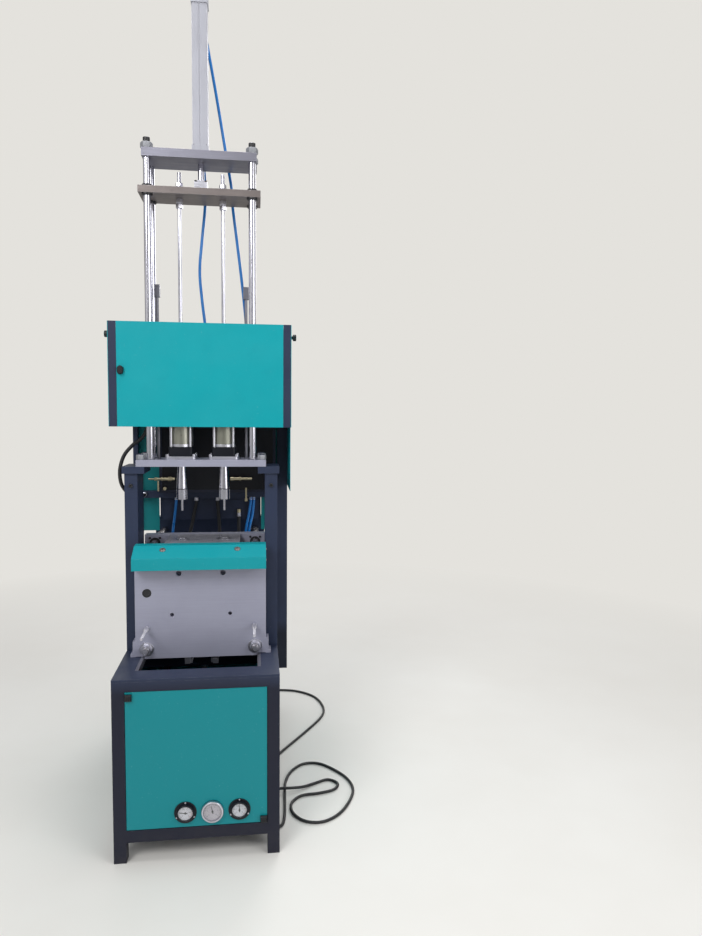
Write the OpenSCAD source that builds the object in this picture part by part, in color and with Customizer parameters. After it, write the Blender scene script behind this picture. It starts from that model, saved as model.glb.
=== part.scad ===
// Two-cavity stretch blow moulding machine, in millimetres.
// X runs to the right, Y to the rear and Z up. Y is counted from the cabinet's front,
// and the finished machine stands with the centre of its four feet on the origin.

/* [Base cabinet] */
// Width of the cabinet
base_w = 600; // [580:2:612]
// Depth of the cabinet
base_d = 1330; // [1310:10:1500]
// Height of the table's upper face
table_z = 686; // [650:1:750]
// Thickness of the table plate
table_t = 10; // [8:1:14]
// Side of the square frame tube
frame_tube = 45; // [40:1:50]
// Height of the top rails under the table plate
top_rail_h = 35; // [30:1:45]
// Height of the bottom rails above the floor
bottom_rail_z = 77; // [50:1:110]
// Width of the slot in the table
slot_w = 438; // [420:1:446]
// Distance from the cabinet front to the slot
slot_front = 90; // [70:1:100]
// Thickness of the cabinet's floor sheet
floor_t = 3; // [2:0.5:5]
// Thickness of the panel sheet
panel_t = 2; // [1.5:0.5:3]
// Depth of the folded edge of a panel
panel_return = 18; // [14:1:22]
// Gap around a panel in its opening
panel_gap = 1.5; // [1:0.5:3]
// How far a panel sits behind the face of the frame
panel_inset = 2; // [1:0.5:3]
// Width of the ledge that a panel seats on
ledge_w = 8; // [6:1:10]
// Thickness of that ledge
ledge_t = 3; // [2:0.5:4]
// Radius of the threaded hole for a levelling foot
foot_hole_r = 5.1; // [4:0.1:8]
// Depth of that hole
foot_hole_depth = 30; // [20:1:40]
// Number of louvre slots in a side panel
louvre_count = 6; // [3:1:9]

/* [Clamp] */
// Distance from the cabinet front to the mould's parting line
axis_y = 400; // [395:1:410]
// Distance between the two cavities
cavity_pitch = 170; // [168:1:176]
// Width of a platen
platen_w = 505; // [500:1:520]
// Thickness of a platen
platen_t = 50; // [40:1:60]
// Height of a platen
platen_h = 434; // [425:1:440]
// Gap between the platens and the table
platen_lift = 2; // [1:0.5:4]
// Width of the mould
mould_w = 296; // [280:1:320]
// Depth of one mould half
mould_d = 110; // [100:1:116]
// Height of the mould's underside above the platen's lower edge
mould_lift = 12; // [5:1:40]
// Gap between the closed mould halves, on each side of the parting line
parting_gap = 0.1; // [0.05:0.05:0.3]
// Radius of a bottle cavity
bottle_r = 36; // [25:1:40]
// Length of a bottle cavity under its neck
bottle_h = 215; // [200:1:230]
// Radius of the cavity's neck
neck_r = 12.8; // [11:0.1:14]
// Depth of the cavity's neck
neck_h = 18; // [12:1:24]
// Radius of the ring recess round each neck
ring_r = 30; // [26:1:34]
// Distance of the tie bars from the centre
tie_x = 210; // [205:1:214]
// Height of the lower tie bars above the platen's lower edge
tie_low = 29; // [29:1:50]
// Height between the lower and the upper tie bars
tie_rise = 371; // [340:1:374]
// Diameter of a tie bar
tie_d = 32; // [28:1:34]
// Wall of a tie bar bush
bush_wall = 6; // [4:0.5:7]
// How far each mould half opens
open_stroke = 130; // [100:1:135]
// Clear distance between the rear platen and the crosshead
crosshead_gap = 290; // [285:1:300]
// Thickness of the crosshead
crosshead_t = 45; // [35:1:55]
// Bore of the clamp cylinder
clamp_bore = 125; // [100:1:140]
// Wall of the clamp cylinder
clamp_wall = 9; // [6:1:14]
// Diameter of the clamp piston rod
clamp_rod_d = 45; // [36:1:50]
// Thickness of the clamp piston
clamp_piston_t = 40; // [30:1:50]
// Width of a guide bar at the side of the table slot
rail_w = 12; // [10:1:14]
// Height of a guide bar
rail_h = 26; // [22:1:30]
// Width of a guide bar's foot under the table plate
rail_foot = 14; // [10:1:18]
// Depth of a platen's tongue in the slot
tongue_h = 10; // [8:1:12]
// Distance from the centre to the outer face of a platen's shoe
shoe_x = 272; // [268:1:276]
// How far the crosshead stands above the platens
crosshead_rise = 28; // [10:1:30]
// How far the front cover stands forward of the platen
cover_reach = 73; // [50:1:78]
// Height of the cover's upright lip
cover_lip = 46; // [30:1:60]
// Fall of the cover from its flange to the lip
cover_fall = 37; // [20:1:50]
// Thickness of the cover sheet
cover_t = 3; // [2:0.5:4]
// Length of the stop bolts in front of the platen
stop_bolt_l = 145; // [100:1:150]
// Diameter of the stop bolts
stop_bolt_d = 10; // [8:1:12]

/* [Rack and pinion] */
// Tooth module
gear_m = 4; // [4:1:4]
// Number of teeth on the pinion
gear_teeth = 20; // [18:2:22]
// Thickness of the pinion and the racks
gear_t = 20; // [15:1:30]
// Backlash between meshing teeth
gear_backlash = 0.5; // [0.3:0.1:0.8]
// Depth of a rack bar behind its teeth
rack_back = 20; // [14:1:24]
// Diameter of the pinion's shaft
shaft_d = 20; // [16:1:24]

/* [Blow station] */
// Height of the blow plate's underside
blow_z = 1426; // [1380:1:1460]
// Thickness of the blow plate
blow_t = 26; // [20:1:32]
// Width of the blow plate
blow_w = 508; // [500:1:520]
// Depth of the blow plate
blow_d = 172; // [168:1:180]
// Width of a post
post_w = 50; // [40:1:50]
// Depth of a post
post_d = 150; // [120:1:150]
// Width of a post cap
cap_w = 86; // [80:1:92]
// Depth of a post cap
cap_d = 170; // [160:1:180]
// Thickness of a post cap
cap_t = 28; // [20:1:32]
// How far a cap stands out beyond the cabinet's side
cap_overhang = 8; // [4:1:12]
// Bore of a blow cylinder
blow_bore = 80; // [63:1:80]
// Wall of a blow cylinder's barrel
blow_wall = 4; // [3:0.5:4.5]
// Side of a blow cylinder's square heads
blow_head_w = 95; // [93:1:100]
// Height of a blow cylinder's head
blow_head_h = 38; // [30:1:44]
// Thickness of the mounting flange under a blow cylinder
flange_t = 12; // [8:1:16]
// Travel of a blow nozzle
nozzle_stroke = 160; // [120:1:162]
// Radius of a nozzle's bell
bell_r = 23.4; // [20:0.1:26]
// Height of a nozzle's bell
bell_h = 41; // [30:1:50]
// Length of a nozzle under the blow plate
nozzle_l = 139; // [110:1:140]
// Radius of a nozzle's upper end
nozzle_top_r = 17.5; // [16:0.1:20]
// Radius of the hollow piston rod
hollow_r = 15; // [13:0.5:16]
// Radius of the bell's inner recess
bell_bore_r = 14.5; // [12:0.1:16]
// Thickness of a blow piston
blow_piston_t = 35; // [25:1:40]

/* [Stretch station] */
// Height of the top plate's underside
top_z = 2618; // [2560:1:2660]
// Thickness of the top plate
top_t = 32; // [25:1:40]
// Reach of the top plate past the guide rods' centres, at each side
top_edge = 18; // [16:1:30]
// Depth of the top plate and of the carriage
top_d = 154; // [152:1:160]
// Height of the carriage's underside
carriage_z = 2482; // [2460:1:2490]
// Thickness of the carriage
carriage_t = 26; // [20:1:30]
// Width of the carriage
carriage_w = 468; // [450:1:480]
// Diameter of a guide rod
rod_d = 28; // [24:1:30]
// Distance of the guide rods from the centre
rod_x = 201; // [199:1:204]
// Distance of the guide rods from the machine's axis, front to rear
rod_dy = 56; // [54:1:56]
// Wall of a carriage bush
carriage_bush_wall = 4; // [3:0.5:5]
// Travel of the carriage down to its stops
stretch_stroke = 335; // [280:1:340]
// Diameter of a stretch rod
stretch_d = 15; // [12:1:15]
// Diameter of a stretch rod's lower length
tip_d = 10.5; // [8:0.5:12]
// Height of a stretch rod's tip
tip_z = 1240; // [1235:1:1260]
// Side of the stretch cylinder's end caps
stretch_cap_w = 65; // [62:1:70]
// Side of the stretch cylinder's barrel
stretch_barrel_w = 59; // [56:1:61]
// Bore of the stretch cylinder
stretch_bore = 50; // [40:1:50]
// Length of the stretch cylinder's barrel
stretch_barrel_l = 534; // [500:1:560]
// Height of a stretch cylinder cap
stretch_cap_h = 34; // [25:1:40]
// Height of the block that couples the piston rod to the carriage
coupling_h = 38; // [25:1:45]
// Size of the guide rods' nuts across flats
rod_nut_af = 41; // [36:1:46]
// Height of the guide rods' nuts
rod_nut_h = 22; // [19:1:26]
// Diameter of the stretch cylinder's piston rod
piston_rod_d = 24; // [18:1:25]
// Distance of the stop posts from the centre
stop_x = 175; // [172:1:177]
// Diameter of a stop post
stop_d = 12; // [10:1:14]
// Side of a stop post's head
stop_head_w = 22; // [18:1:24]
// Height of a stop post's head
stop_head_h = 49; // [30:1:60]

/* [Guard and rear frame] */
// Height of the guard's lower edge
guard_z = 1583; // [1560:1:1600]
// Height of the guard
guard_h = 409; // [380:1:430]
// Distance from the cabinet front to the guard's front
guard_front_y = 326; // [318:1:327]
// Width of the guard between its side sheets
guard_w = 708; // [690:1:716]
// Width of the corner angles
angle_w = 30; // [27:1:33]
// Thickness of the corner angles
angle_t = 3; // [2:0.5:4]
// Distance from the cabinet front to the rear face of the columns
column_back_y = 700; // [700:1:720]
// Gap between the cabinet's side and the right column
column_gap = 9; // [6:1:12]
// Width of the left column, which stands against the cabinet's side
left_column_w = 20; // [15:1:25]
// Depth of a rear column
column_d = 40; // [30:1:45]
// Height of a rear column's lower end
column_z = 468; // [440:1:560]
// Height of the crossbeam's underside
beam_z = 1262; // [1250:1:1280]
// Height of the crossbeam
beam_h = 30; // [26:1:40]
// Height of the right side sheet's lower edge
apron_z = 1318; // [1310:1:1400]
// Distance from the cabinet front to that lower part
apron_front_y = 392; // [380:1:420]
// Height of the rear sheet's lower edge
rear_sheet_z = 1110; // [1106:1:1150]
// Side of the guard's rails
guard_rail = 25; // [20:1:28]

/* [Gauges and latches] */
// Distance between two gauges
gauge_pitch = 98; // [90:1:110]
// Offset of the left gauge from the centre
gauge_x = -44; // [-60:1:-30]
// Height of the gauges
gauge_z = 179; // [175:1:200]
// Radius of a gauge's case
gauge_r = 31.5; // [29:0.5:33]
// Radius of a gauge's front flange
gauge_flange_r = 40.5; // [38:0.5:44]
// Radius of a dial
dial_r = 27; // [25:0.5:29]
// Radius of the centre gauge's dial
centre_dial_r = 33; // [30:0.5:35]
// Side of a latch's head
latch_w = 25; // [22:1:28]
// Depth of a latch's head
latch_t = 12; // [8:1:14]
// Distance of the latches from the centre
latch_x = 241; // [240:0.5:242]

/* [Cords] */
// Diameter of the blue air tubes
tube_d = 12; // [8:1:12]
// Diameter of the black air hoses
hose_d = 15; // [12:1:16]
// Diameter of the power cable
cable_d = 12; // [10:1:12]

/* [Hidden] */
$fn = 64;

// Colours
teal = [0.13, 0.60, 0.62];
dark_blue = [0.20, 0.22, 0.28];
ground_steel = [0.62, 0.62, 0.68];
dull_steel = [0.46, 0.45, 0.48];
bright_steel = [0.80, 0.80, 0.85];
light_grey = [0.70, 0.72, 0.78];
black = [0.06, 0.06, 0.07];
brass = [0.70, 0.52, 0.26];
tube_blue = [0.10, 0.30, 0.75];

// Clearances
run_gap = 0.05;
stud_gap = 0.1;
slide_gap = 0.3;
eps = 1;

// Cabinet
half_w = base_w / 2;
rail_top_z = table_z - table_t;
opening_low = bottom_rail_z + frame_tube;
opening_high = rail_top_z - top_rail_h;
front_half = half_w - frame_tube;
panel_face_y = panel_inset;
ledge_y = panel_inset + panel_return;

// Clamp heights and depths
platen_z = table_z + platen_lift;
platen_top = platen_z + platen_h;
mould_z = platen_z + mould_lift;
clamp_z = platen_z + tie_low + tie_rise / 2;
tie_heights = [platen_z + tie_low, platen_z + tie_low + tie_rise];
front_platen_y = axis_y - mould_d - platen_t;
front_mould_y = axis_y - mould_d;
rear_mould_end = axis_y + mould_d;
rear_platen_end = rear_mould_end + platen_t;
crosshead_y = rear_platen_end + crosshead_gap;
crosshead_end = crosshead_y + crosshead_t;
platen_half = platen_w / 2;
bush_r = tie_d / 2 + bush_wall;
stud_r = 12;
nut_af = 36;
nut_h = 19;
washer_r = 28;
washer_t = 4;
stud_out = 15;

// Guide bars and shoes
shoe_h = 62;
shoe_foot_h = 12;
slot_half = slot_w / 2;
slot_y = [slot_front, 2 * axis_y - slot_front];

// Gears
pitch_r = gear_m * gear_teeth / 2;
tooth_pitch = PI * gear_m;
pressure_angle = 20;
addendum = gear_m;
dedendum = 1.25 * gear_m;
gear_z = opening_high + 10;
member_h = 45;
member_z = opening_high - member_h;
member_half_w = half_w - ledge_y - ledge_t - 1;
member_half_d = 25;
rack_reach = 160;
rack_stem = 40;

// Blow station
cavity_x = cavity_pitch / 2;
post_out = half_w;
cap_in = post_out + cap_overhang - cap_w;
cap_z = blow_z - cap_t;
blow_top = blow_z + blow_t;
head_z = blow_top + flange_t;
barrel_z = head_z + blow_head_h;
barrel_l = nozzle_stroke + blow_piston_t + 5;
upper_head_z = barrel_z + barrel_l;
upper_head_top = upper_head_z + blow_head_h;
piston_top_gap = 2;
hollow_top = upper_head_top + nozzle_stroke + 20;
stretch_bore_r = stretch_d / 2 + 1;
plate_hole_r = 22;
corner_x = blow_w / 2 - 16;
corner_dy = 62;
tie_rod_r = 5;
tie_rod_at = 38;
flange_w = 120;
flange_d = 108;

// Stretch station
top_w = 2 * (rod_x + top_edge);
top_y = [axis_y - top_d / 2, axis_y + top_d / 2];
rod_places = [for (x = [-rod_x, rod_x], y = [axis_y - rod_dy, axis_y + rod_dy]) [x, y]];
stretch_cap_z = top_z + top_t;
stretch_barrel_z = stretch_cap_z + stretch_cap_h;
stretch_end_z = stretch_barrel_z + stretch_barrel_l;
stretch_top = stretch_end_z + stretch_cap_h;
carriage_top = carriage_z + carriage_t;
stretch_piston_t = 25;
coupling_w = 50;
stop_top = carriage_z - stretch_stroke - 1;
lock_nut_af = 24;
lock_nut_h = 16;
lock_gap = 4;
thread_up = 76;
rod_stud_r = 13.5;
rod_stud_out = 19;
corner_af = 30;
corner_h = 20;
corner_stud_r = 10;

// Guard
guard_half = guard_w / 2;
guard_top = guard_z + guard_h;
sheet_t = 2;
column_out = guard_half;
column_in = half_w + column_gap;
left_column_out = -half_w - left_column_w;
column_y = [column_back_y - column_d, column_back_y];
panel_half = guard_half - angle_w - 0.5;
knob_x = -(guard_half - angle_w - 16);
knob_z = guard_z + 220;

// Every piece is drawn from the cabinet's front and then moved onto the feet's centre.
module placed() {
  translate([0, -base_d / 2, 0]) children();
}

// A block between low and high bounds on each axis.
module span(x, y, z) {
  translate([x[0], y[0], z[0]]) cube([x[1] - x[0], y[1] - y[0], z[1] - z[0]]);
}

// A cylinder along Y between two depths.
module bar_y(r, y, x, z) {
  translate([x, y[0], z]) rotate([-90, 0, 0]) cylinder(r = r, h = y[1] - y[0]);
}

// A cylinder along X between two places.
module bar_x(r, x, y, z) {
  translate([x[0], y, z]) rotate([0, 90, 0]) cylinder(r = r, h = x[1] - x[0]);
}

// An upright cylinder between two heights.
module bar_z(r, x, y, z) {
  translate([x, y, z[0]]) cylinder(r = r, h = z[1] - z[0]);
}

// A flat plate about the origin with rounded upright corners.
module rounded_plate(w, d, z, r) {
  span([-w / 2 + r, w / 2 - r], [-d / 2, d / 2], z);
  span([-w / 2, w / 2], [-d / 2 + r, d / 2 - r], z);
  for (x = [-w / 2 + r, w / 2 - r], y = [-d / 2 + r, d / 2 - r]) bar_z(r, x, y, z);
}

module both_sides() {
  children();
  mirror([1, 0, 0]) children();
}

function hex_r(af) = af / 2 / cos(30);

// Cord sweep: a smooth curve through hand-placed points, ringed with eight-sided sections.
function unit(v) = v / norm(v);
function bend_at(p, i, t) =
  let (a = p[max(i - 1, 0)], b = p[i], c = p[i + 1], d = p[min(i + 2, len(p) - 1)])
  0.5 * (2 * b + (c - a) * t + (2 * a - 5 * b + 4 * c - d) * t * t
    + (3 * b - a - 3 * c + d) * t * t * t);
function smooth_path(p, steps) = concat(
  [for (i = [0 : len(p) - 2], k = [0 : steps - 1]) bend_at(p, i, k / steps)],
  [p[len(p) - 1]]);
function direction(p, i) = unit(p[min(i + 1, len(p) - 1)] - p[max(i - 1, 0)]);
function across(n, t) = unit(n - (n * t) * t);
function normals(p) =
  [for (i = 0, n = across([0.31, 0.17, 0.93], direction(p, 0)); i < len(p);
    i = i + 1, n = across(n, direction(p, min(i, len(p) - 1)))) n];
cord_sides = 8;

// The end rings stand square to the first and the last leg, so they seat on what they meet.
function leg(points, i) = unit(points[i + 1] - points[i]);

module cord(points, d, steps) {
  path = smooth_path(points, steps);
  side = normals(path);
  end = len(path) - 1;
  ring = [for (i = [0 : end], k = [0 : cord_sides - 1])
    let (t = i == 0 ? leg(points, 0) : i == end ? leg(points, len(points) - 2) : direction(path, i),
      u = across(side[i], t), v = cross(t, u), a = 360 * k / cord_sides)
    path[i] + d / 2 * (cos(a) * u + sin(a) * v)];
  last = (len(path) - 1) * cord_sides;
  walls = [for (i = [0 : len(path) - 2], k = [0 : cord_sides - 1])
    let (a = i * cord_sides + k, b = i * cord_sides + (k + 1) % cord_sides)
    each [[a, b, b + cord_sides], [a, b + cord_sides, a + cord_sides]]];
  near = [for (k = [1 : cord_sides - 2]) [0, k + 1, k]];
  far = [for (k = [1 : cord_sides - 2]) [last, last + k, last + k + 1]];
  polyhedron(ring, [for (f = concat(walls, near, far)) [f[2], f[1], f[0]]]);
}

// Cord routes, as round numbers in the cabinet's frame.
long_tube_path = [
  [0, 436, 3235], [0, 466, 3235], [8, 494, 3204], [22, 504, 3120], [56, 502, 2930],
  [91, 500, 2717], [116, 500, 2562], [121, 500, 2484], [137, 500, 2353],
  [157, 500, 2185], [174, 500, 2016], [186, 520, 1850], [193, 575, 1710],
  [196, 630, 1630], [196, 630, 1583]];
short_tube_path = [
  [0, 436, 2667], [0, 466, 2667], [5, 493, 2640], [9, 504, 2560], [8, 502, 2480],
  [-5, 500, 2347], [-15, 500, 2224], [-7, 500, 2110], [8, 502, 1980],
  [22, 530, 1830], [34, 590, 1700], [36, 630, 1630], [36, 630, 1583]];
left_hose_path = [
  [-145, 428, 1721], [-172, 428, 1721], [-196, 430, 1696], [-212, 434, 1640],
  [-224, 440, 1580], [-248, 442, 1535], [-284, 442, 1506], [-320, 441, 1462],
  [-337, 440, 1403], [-334, 452, 1345], [-316, 490, 1305], [-290, 550, 1284],
  [-270, 610, 1280], [-270, 645, 1280]];
rear_black_paths = [
  [[-52, 692, 1262], [-52, 692, 1238], [-62, 699, 1190], [-74, 703, 1130],
   [-84, 703, 1085], [-90, 703, 1040], [-108, 703, 1006], [-150, 703, 994],
   [-200, 703, 992], [-245, 703, 990], [-268, 712, 972], [-282, 726, 930],
   [-283, 730, 860], [-283, 730, 686]],
  [[42, 692, 1262], [42, 692, 1238], [45, 699, 1190], [49, 703, 1130],
   [50, 703, 1060], [55, 703, 1000], [80, 703, 974], [140, 703, 968],
   [200, 703, 968], [245, 703, 966], [268, 710, 950], [282, 722, 910],
   [283, 724, 840], [283, 724, 686]],
  [[137, 703, 1187], [137, 703, 1150], [136, 703, 1080], [138, 703, 1030],
   [155, 703, 1004], [200, 703, 998], [240, 703, 998], [266, 716, 996],
   [282, 738, 975], [283, 748, 920], [283, 748, 840], [283, 748, 686]]];
rear_blue_paths = [
  [[-141, 692, 1262], [-141, 692, 1238], [-147, 699, 1190], [-155, 703, 1130],
   [-160, 703, 1085], [-164, 703, 1050], [-182, 703, 1030], [-220, 703, 1024],
   [-250, 704, 1022], [-272, 718, 1012], [-288, 744, 980], [-290, 756, 920],
   [-290, 756, 830], [-290, 756, 686]],
  [[190, 692, 1262], [190, 692, 1238], [182, 699, 1180], [170, 703, 1120],
   [167, 703, 1070], [174, 703, 1040], [197, 703, 1026], [240, 703, 1024],
   [268, 714, 1022], [287, 745, 1006], [290, 768, 960], [290, 770, 850],
   [290, 770, 686]],
  [[204, 692, 1262], [204, 692, 1238], [198, 699, 1180], [185, 703, 1120],
   [182, 703, 1080], [187, 703, 1062], [204, 703, 1050], [240, 703, 1048],
   [268, 716, 1046], [287, 758, 1032], [290, 788, 980], [290, 790, 860],
   [290, 790, 686]]];
cable_path = [
  [150, 170, 94], [150, 170, 70], [160, 170, 35], [200, 166, 9], [265, 150, 6],
  [312, 165, 6], [328, 240, 6], [335, 400, 6], [342, 500, 6], [372, 592, 6],
  [430, 655, 6], [500, 652, 6], [560, 595, 6], [615, 505, 6], [632, 410, 6],
  [605, 315, 6], [550, 222, 6], [480, 173, 6], [410, 184, 6], [364, 245, 6],
  [360, 322, 6], [405, 378, 6], [480, 390, 6], [548, 412, 6], [570, 462, 6],
  [530, 500, 6], [470, 474, 6], [410, 438, 12], [336, 422, 20], [275, 444, 10],
  [240, 515, 6], [252, 640, 6], [330, 780, 6], [457, 981, 6], [560, 1160, 6],
  [583, 1290, 6], [545, 1440, 6], [440, 1540, 6], [300, 1568, 6], [190, 1568, 6],
  [120, 1568, 6]];
plug_l = 70;
plug_r = 17;

module base_frame() {
  color(dark_blue) placed() difference() {
    union() {
      for (x = [-half_w, half_w - frame_tube], y = [0, base_d - frame_tube])
        span([x, x + frame_tube], [y, y + frame_tube], [0, rail_top_z]);
      for (z = [[bottom_rail_z, opening_low], [opening_high, rail_top_z]]) {
        for (y = [0, base_d - frame_tube])
          span([-half_w, half_w], [y, y + frame_tube], z);
        for (x = [-half_w, half_w - frame_tube])
          span([x, x + frame_tube], [0, base_d], z);
      }
      span([-member_half_w, member_half_w], [axis_y - member_half_d, axis_y + member_half_d],
        [member_z, member_z + member_h]);
      span([-front_half - eps, front_half + eps], [frame_tube - eps, base_d - frame_tube + eps],
        [opening_low - floor_t, opening_low]);
      front_ledges();
      translate([0, base_d, 0]) mirror([0, 1, 0]) front_ledges();
      both_sides() side_ledges();
    }
    for (x = [-1, 1], y = [frame_tube / 2, base_d - frame_tube / 2])
      bar_z(foot_hole_r, x * (half_w - frame_tube / 2), y, [-eps, foot_hole_depth]);
    bar_z(shaft_d / 2 + run_gap, 0, axis_y, [member_z - eps, member_z + member_h + eps]);
    bar_z(gland_r, cable_path[0][0], cable_path[0][1], [opening_low - 2 * floor_t, opening_low + eps]);
  }
}

// Flat strips round the front opening, behind the panel's folded edges.
module front_ledges() {
  y = [ledge_y, ledge_y + ledge_t];
  both_sides() span([front_half - ledge_w, front_half + eps], y, [opening_low, opening_high]);
  span([-front_half, front_half], y, [opening_low - eps, opening_low + ledge_w]);
  span([-front_half, front_half], y, [opening_high - ledge_w, opening_high + eps]);
}

module side_ledges() {
  x = [half_w - ledge_y - ledge_t, half_w - ledge_y];
  y = [frame_tube, base_d - frame_tube];
  span(x, [y[0] - eps, y[0] + ledge_w], [opening_low, opening_high]);
  span(x, [y[1] - ledge_w, y[1] + eps], [opening_low, opening_high]);
  span(x, y, [opening_low - eps, opening_low + ledge_w]);
  span(x, y, [opening_high - ledge_w, opening_high + eps]);
}

module table_top() {
  cut = slot_half + rail_w;
  color(dark_blue) placed() difference() {
    span([-half_w, half_w], [0, base_d], [rail_top_z, table_z]);
    span([-cut, cut], slot_y, [rail_top_z - eps, table_z + eps]);
  }
}

// A folded tray that fills an opening of the frame, with its face at depth zero.
module tray(w, h) {
  difference() {
    span([-w / 2, w / 2], [0, panel_return], [0, h]);
    span([-w / 2 + panel_t, w / 2 - panel_t], [panel_t, panel_return + eps],
      [panel_t, h - panel_t]);
  }
}

panel_w = 2 * (front_half - panel_gap);
panel_h = opening_high - opening_low - 2 * panel_gap;
panel_z = opening_low + panel_gap;

module front_panel() {
  color(teal) placed() difference() {
    translate([0, panel_face_y, panel_z]) tray(panel_w, panel_h);
    for (i = [0 : 2])
      bar_y(gauge_r + 0.5, [0, panel_return], gauge_x + i * gauge_pitch, gauge_z);
    for (p = latch_places)
      bar_y(latch_shaft_r + run_gap, [0, panel_return], p[0], p[1]);
  }
}

module side_panels() {
  d = base_d - 2 * frame_tube - 2 * panel_gap;
  louvre = [110, 7];
  step = 22;
  color(teal) placed() both_sides() difference() {
    translate([half_w - panel_inset, base_d / 2, panel_z]) rotate([0, 0, 90])
      tray(d, panel_h);
    for (i = [0 : louvre_count - 1])
      span([half_w - panel_inset - panel_t - eps, half_w],
        [base_d - 2 * frame_tube - louvre[0] - 60, base_d - 2 * frame_tube - 60],
        [panel_z + 60 + i * step, panel_z + 60 + i * step + louvre[1]]);
  }
}

gland_r = 10;
inlet_r = 9.5;
inlet_x = 60;
inlet_z = 190;

module rear_panel() {
  color(teal) placed() difference() {
    translate([0, base_d - panel_inset, panel_z]) mirror([0, 1, 0]) tray(panel_w, panel_h);
    for (x = [-inlet_x, inlet_x])
      bar_y(inlet_r + 4.5, [base_d - panel_return, base_d], x, inlet_z);
  }
}

// Gauges: a case with a recessed dial, a rim in front of the panel and a stem behind it.
gauge_rim_y = -12;
dial_y = -3;
arbor_r = 1.5;
rim_wall = 5;
centre_rim_wall = 6.5;

module gauge_case(i) {
  x = gauge_x + i * gauge_pitch;
  dial = i == 1 ? centre_dial_r : dial_r;
  rim = dial + (i == 1 ? centre_rim_wall : rim_wall);
  difference() {
    union() {
      bar_y(gauge_r, [panel_face_y - 4, 38], x, gauge_z);
      bar_y(rim, [gauge_rim_y, panel_face_y - 3], x, gauge_z);
      bar_y(max(rim, i == 1 ? 0 : gauge_flange_r), [panel_face_y - 3, panel_face_y], x, gauge_z);
      bar_y(7, [38 - eps, 60], x, gauge_z);
    }
    bar_y(dial, [gauge_rim_y - eps, dial_y], x, gauge_z);
    bar_y(arbor_r + run_gap, [dial_y - eps, dial_y + 12], x, gauge_z);
  }
}

module gauge_cases() {
  color(black) placed() for (i = [0 : 2]) gauge_case(i);
}

needle_l = dial_r - 5;

module needle(i, turn) {
  x = gauge_x + i * gauge_pitch;
  color([0.05, 0.05, 0.05]) placed() {
    translate([x, dial_y - 3, gauge_z]) rotate([90, turn, 0])
      linear_extrude(0.8) polygon([[-2, -8], [2, -8], [0.6, needle_l], [-0.6, needle_l]]);
    bar_y(3.5, [dial_y - 5, dial_y - 1.5], x, gauge_z);
    bar_y(arbor_r, [dial_y - 1.6, dial_y + 10], x, gauge_z);
  }
}

module needle_left() {
  needle(0, -85);
}
module needle_centre() {
  needle(1, -12);
}
module needle_right() {
  needle(2, 0);
}

// Latches: a square head, a shaft through the panel and a cam behind the ledge.
latch_shaft_r = 5;
cam_l = half_w - frame_tube - latch_x - 1.5;
latch_places = [[-latch_x, opening_high - 21], [latch_x, opening_low + 15]];

module latch(p, side) {
  back = ledge_y + ledge_t + slide_gap;
  color(black) placed() {
    bar_y(latch_shaft_r + 3, [-slide_gap - eps, panel_face_y - slide_gap], p[0], p[1]);
    translate([p[0], 0, p[1]]) rotate([90, 0, 0]) hull() {
      translate([-latch_w / 2, -latch_w / 2, slide_gap])
        cube([latch_w, latch_w, latch_t / 2]);
      translate([-latch_w / 2 + 3, -latch_w / 2 + 3, slide_gap])
        cube([latch_w - 6, latch_w - 6, latch_t]);
    }
    bar_y(latch_shaft_r, [panel_face_y - eps, back + 3], p[0], p[1]);
    span(side < 0 ? [p[0] - cam_l, p[0] + 6] : [p[0] - 6, p[0] + cam_l],
      [back, back + 3], [p[1] - 6, p[1] + 6]);
  }
}

module latch_upper() {
  latch(latch_places[0], -1);
}
module latch_lower() {
  latch(latch_places[1], 1);
}

// Guide bars let into the sides of the table slot, each with a foot under the table plate.
module guide_rails() {
  color(dull_steel) placed() both_sides() {
    span([slot_half, slot_half + rail_w], slot_y, [table_z - rail_h, table_z]);
    span([slot_half, slot_half + rail_w + rail_foot], slot_y,
      [table_z - rail_h, rail_top_z]);
  }
}

// A platen blank with the shoes that slide on the table.
module platen_blank(y) {
  foot_z = table_z + slide_gap;
  span([-platen_half, platen_half], y, [platen_z, platen_top]);
  both_sides() {
    span([platen_half - eps, shoe_x], y, [foot_z, foot_z + shoe_foot_h]);
    span([platen_half - eps, shoe_x - 9], y, [foot_z, foot_z + shoe_h]);
  }
}

// The tongue under a platen runs in the slot between the guide bars.
module tongue(y) {
  half = slot_half - slide_gap;
  span([-half, half], y, [platen_z - tongue_h, platen_z + eps]);
}

module tie_holes(r, y) {
  for (x = [-tie_x, tie_x], z = tie_heights) bar_y(r, [y[0] - eps, y[1] + eps], x, z);
}

stop_bolt_x = 207;
stop_bolt_z = clamp_z - 101;

module front_platen() {
  y = [front_platen_y, front_platen_y + platen_t];
  color(ground_steel) placed() difference() {
    union() {
      platen_blank(y);
      tongue(y);
    }
    tie_holes(stud_r + stud_gap, y);
    bar_y(17.5, [y[0] - eps, y[0] + 20], -stop_bolt_x, clamp_z + 36);
    for (x = [-1, 1]) {
      bar_y(7.5, [y[0] - eps, y[0] + 30], x * 112, clamp_z - 52);
      bar_y(10.5, [y[0] - eps, y[0] + 30], x * cavity_x, clamp_z + 112);
      bar_y(stop_bolt_d / 2 + stud_gap, [y[0] - eps, y[0] + 30], x * stop_bolt_x, stop_bolt_z);
    }
  }
}

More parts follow.
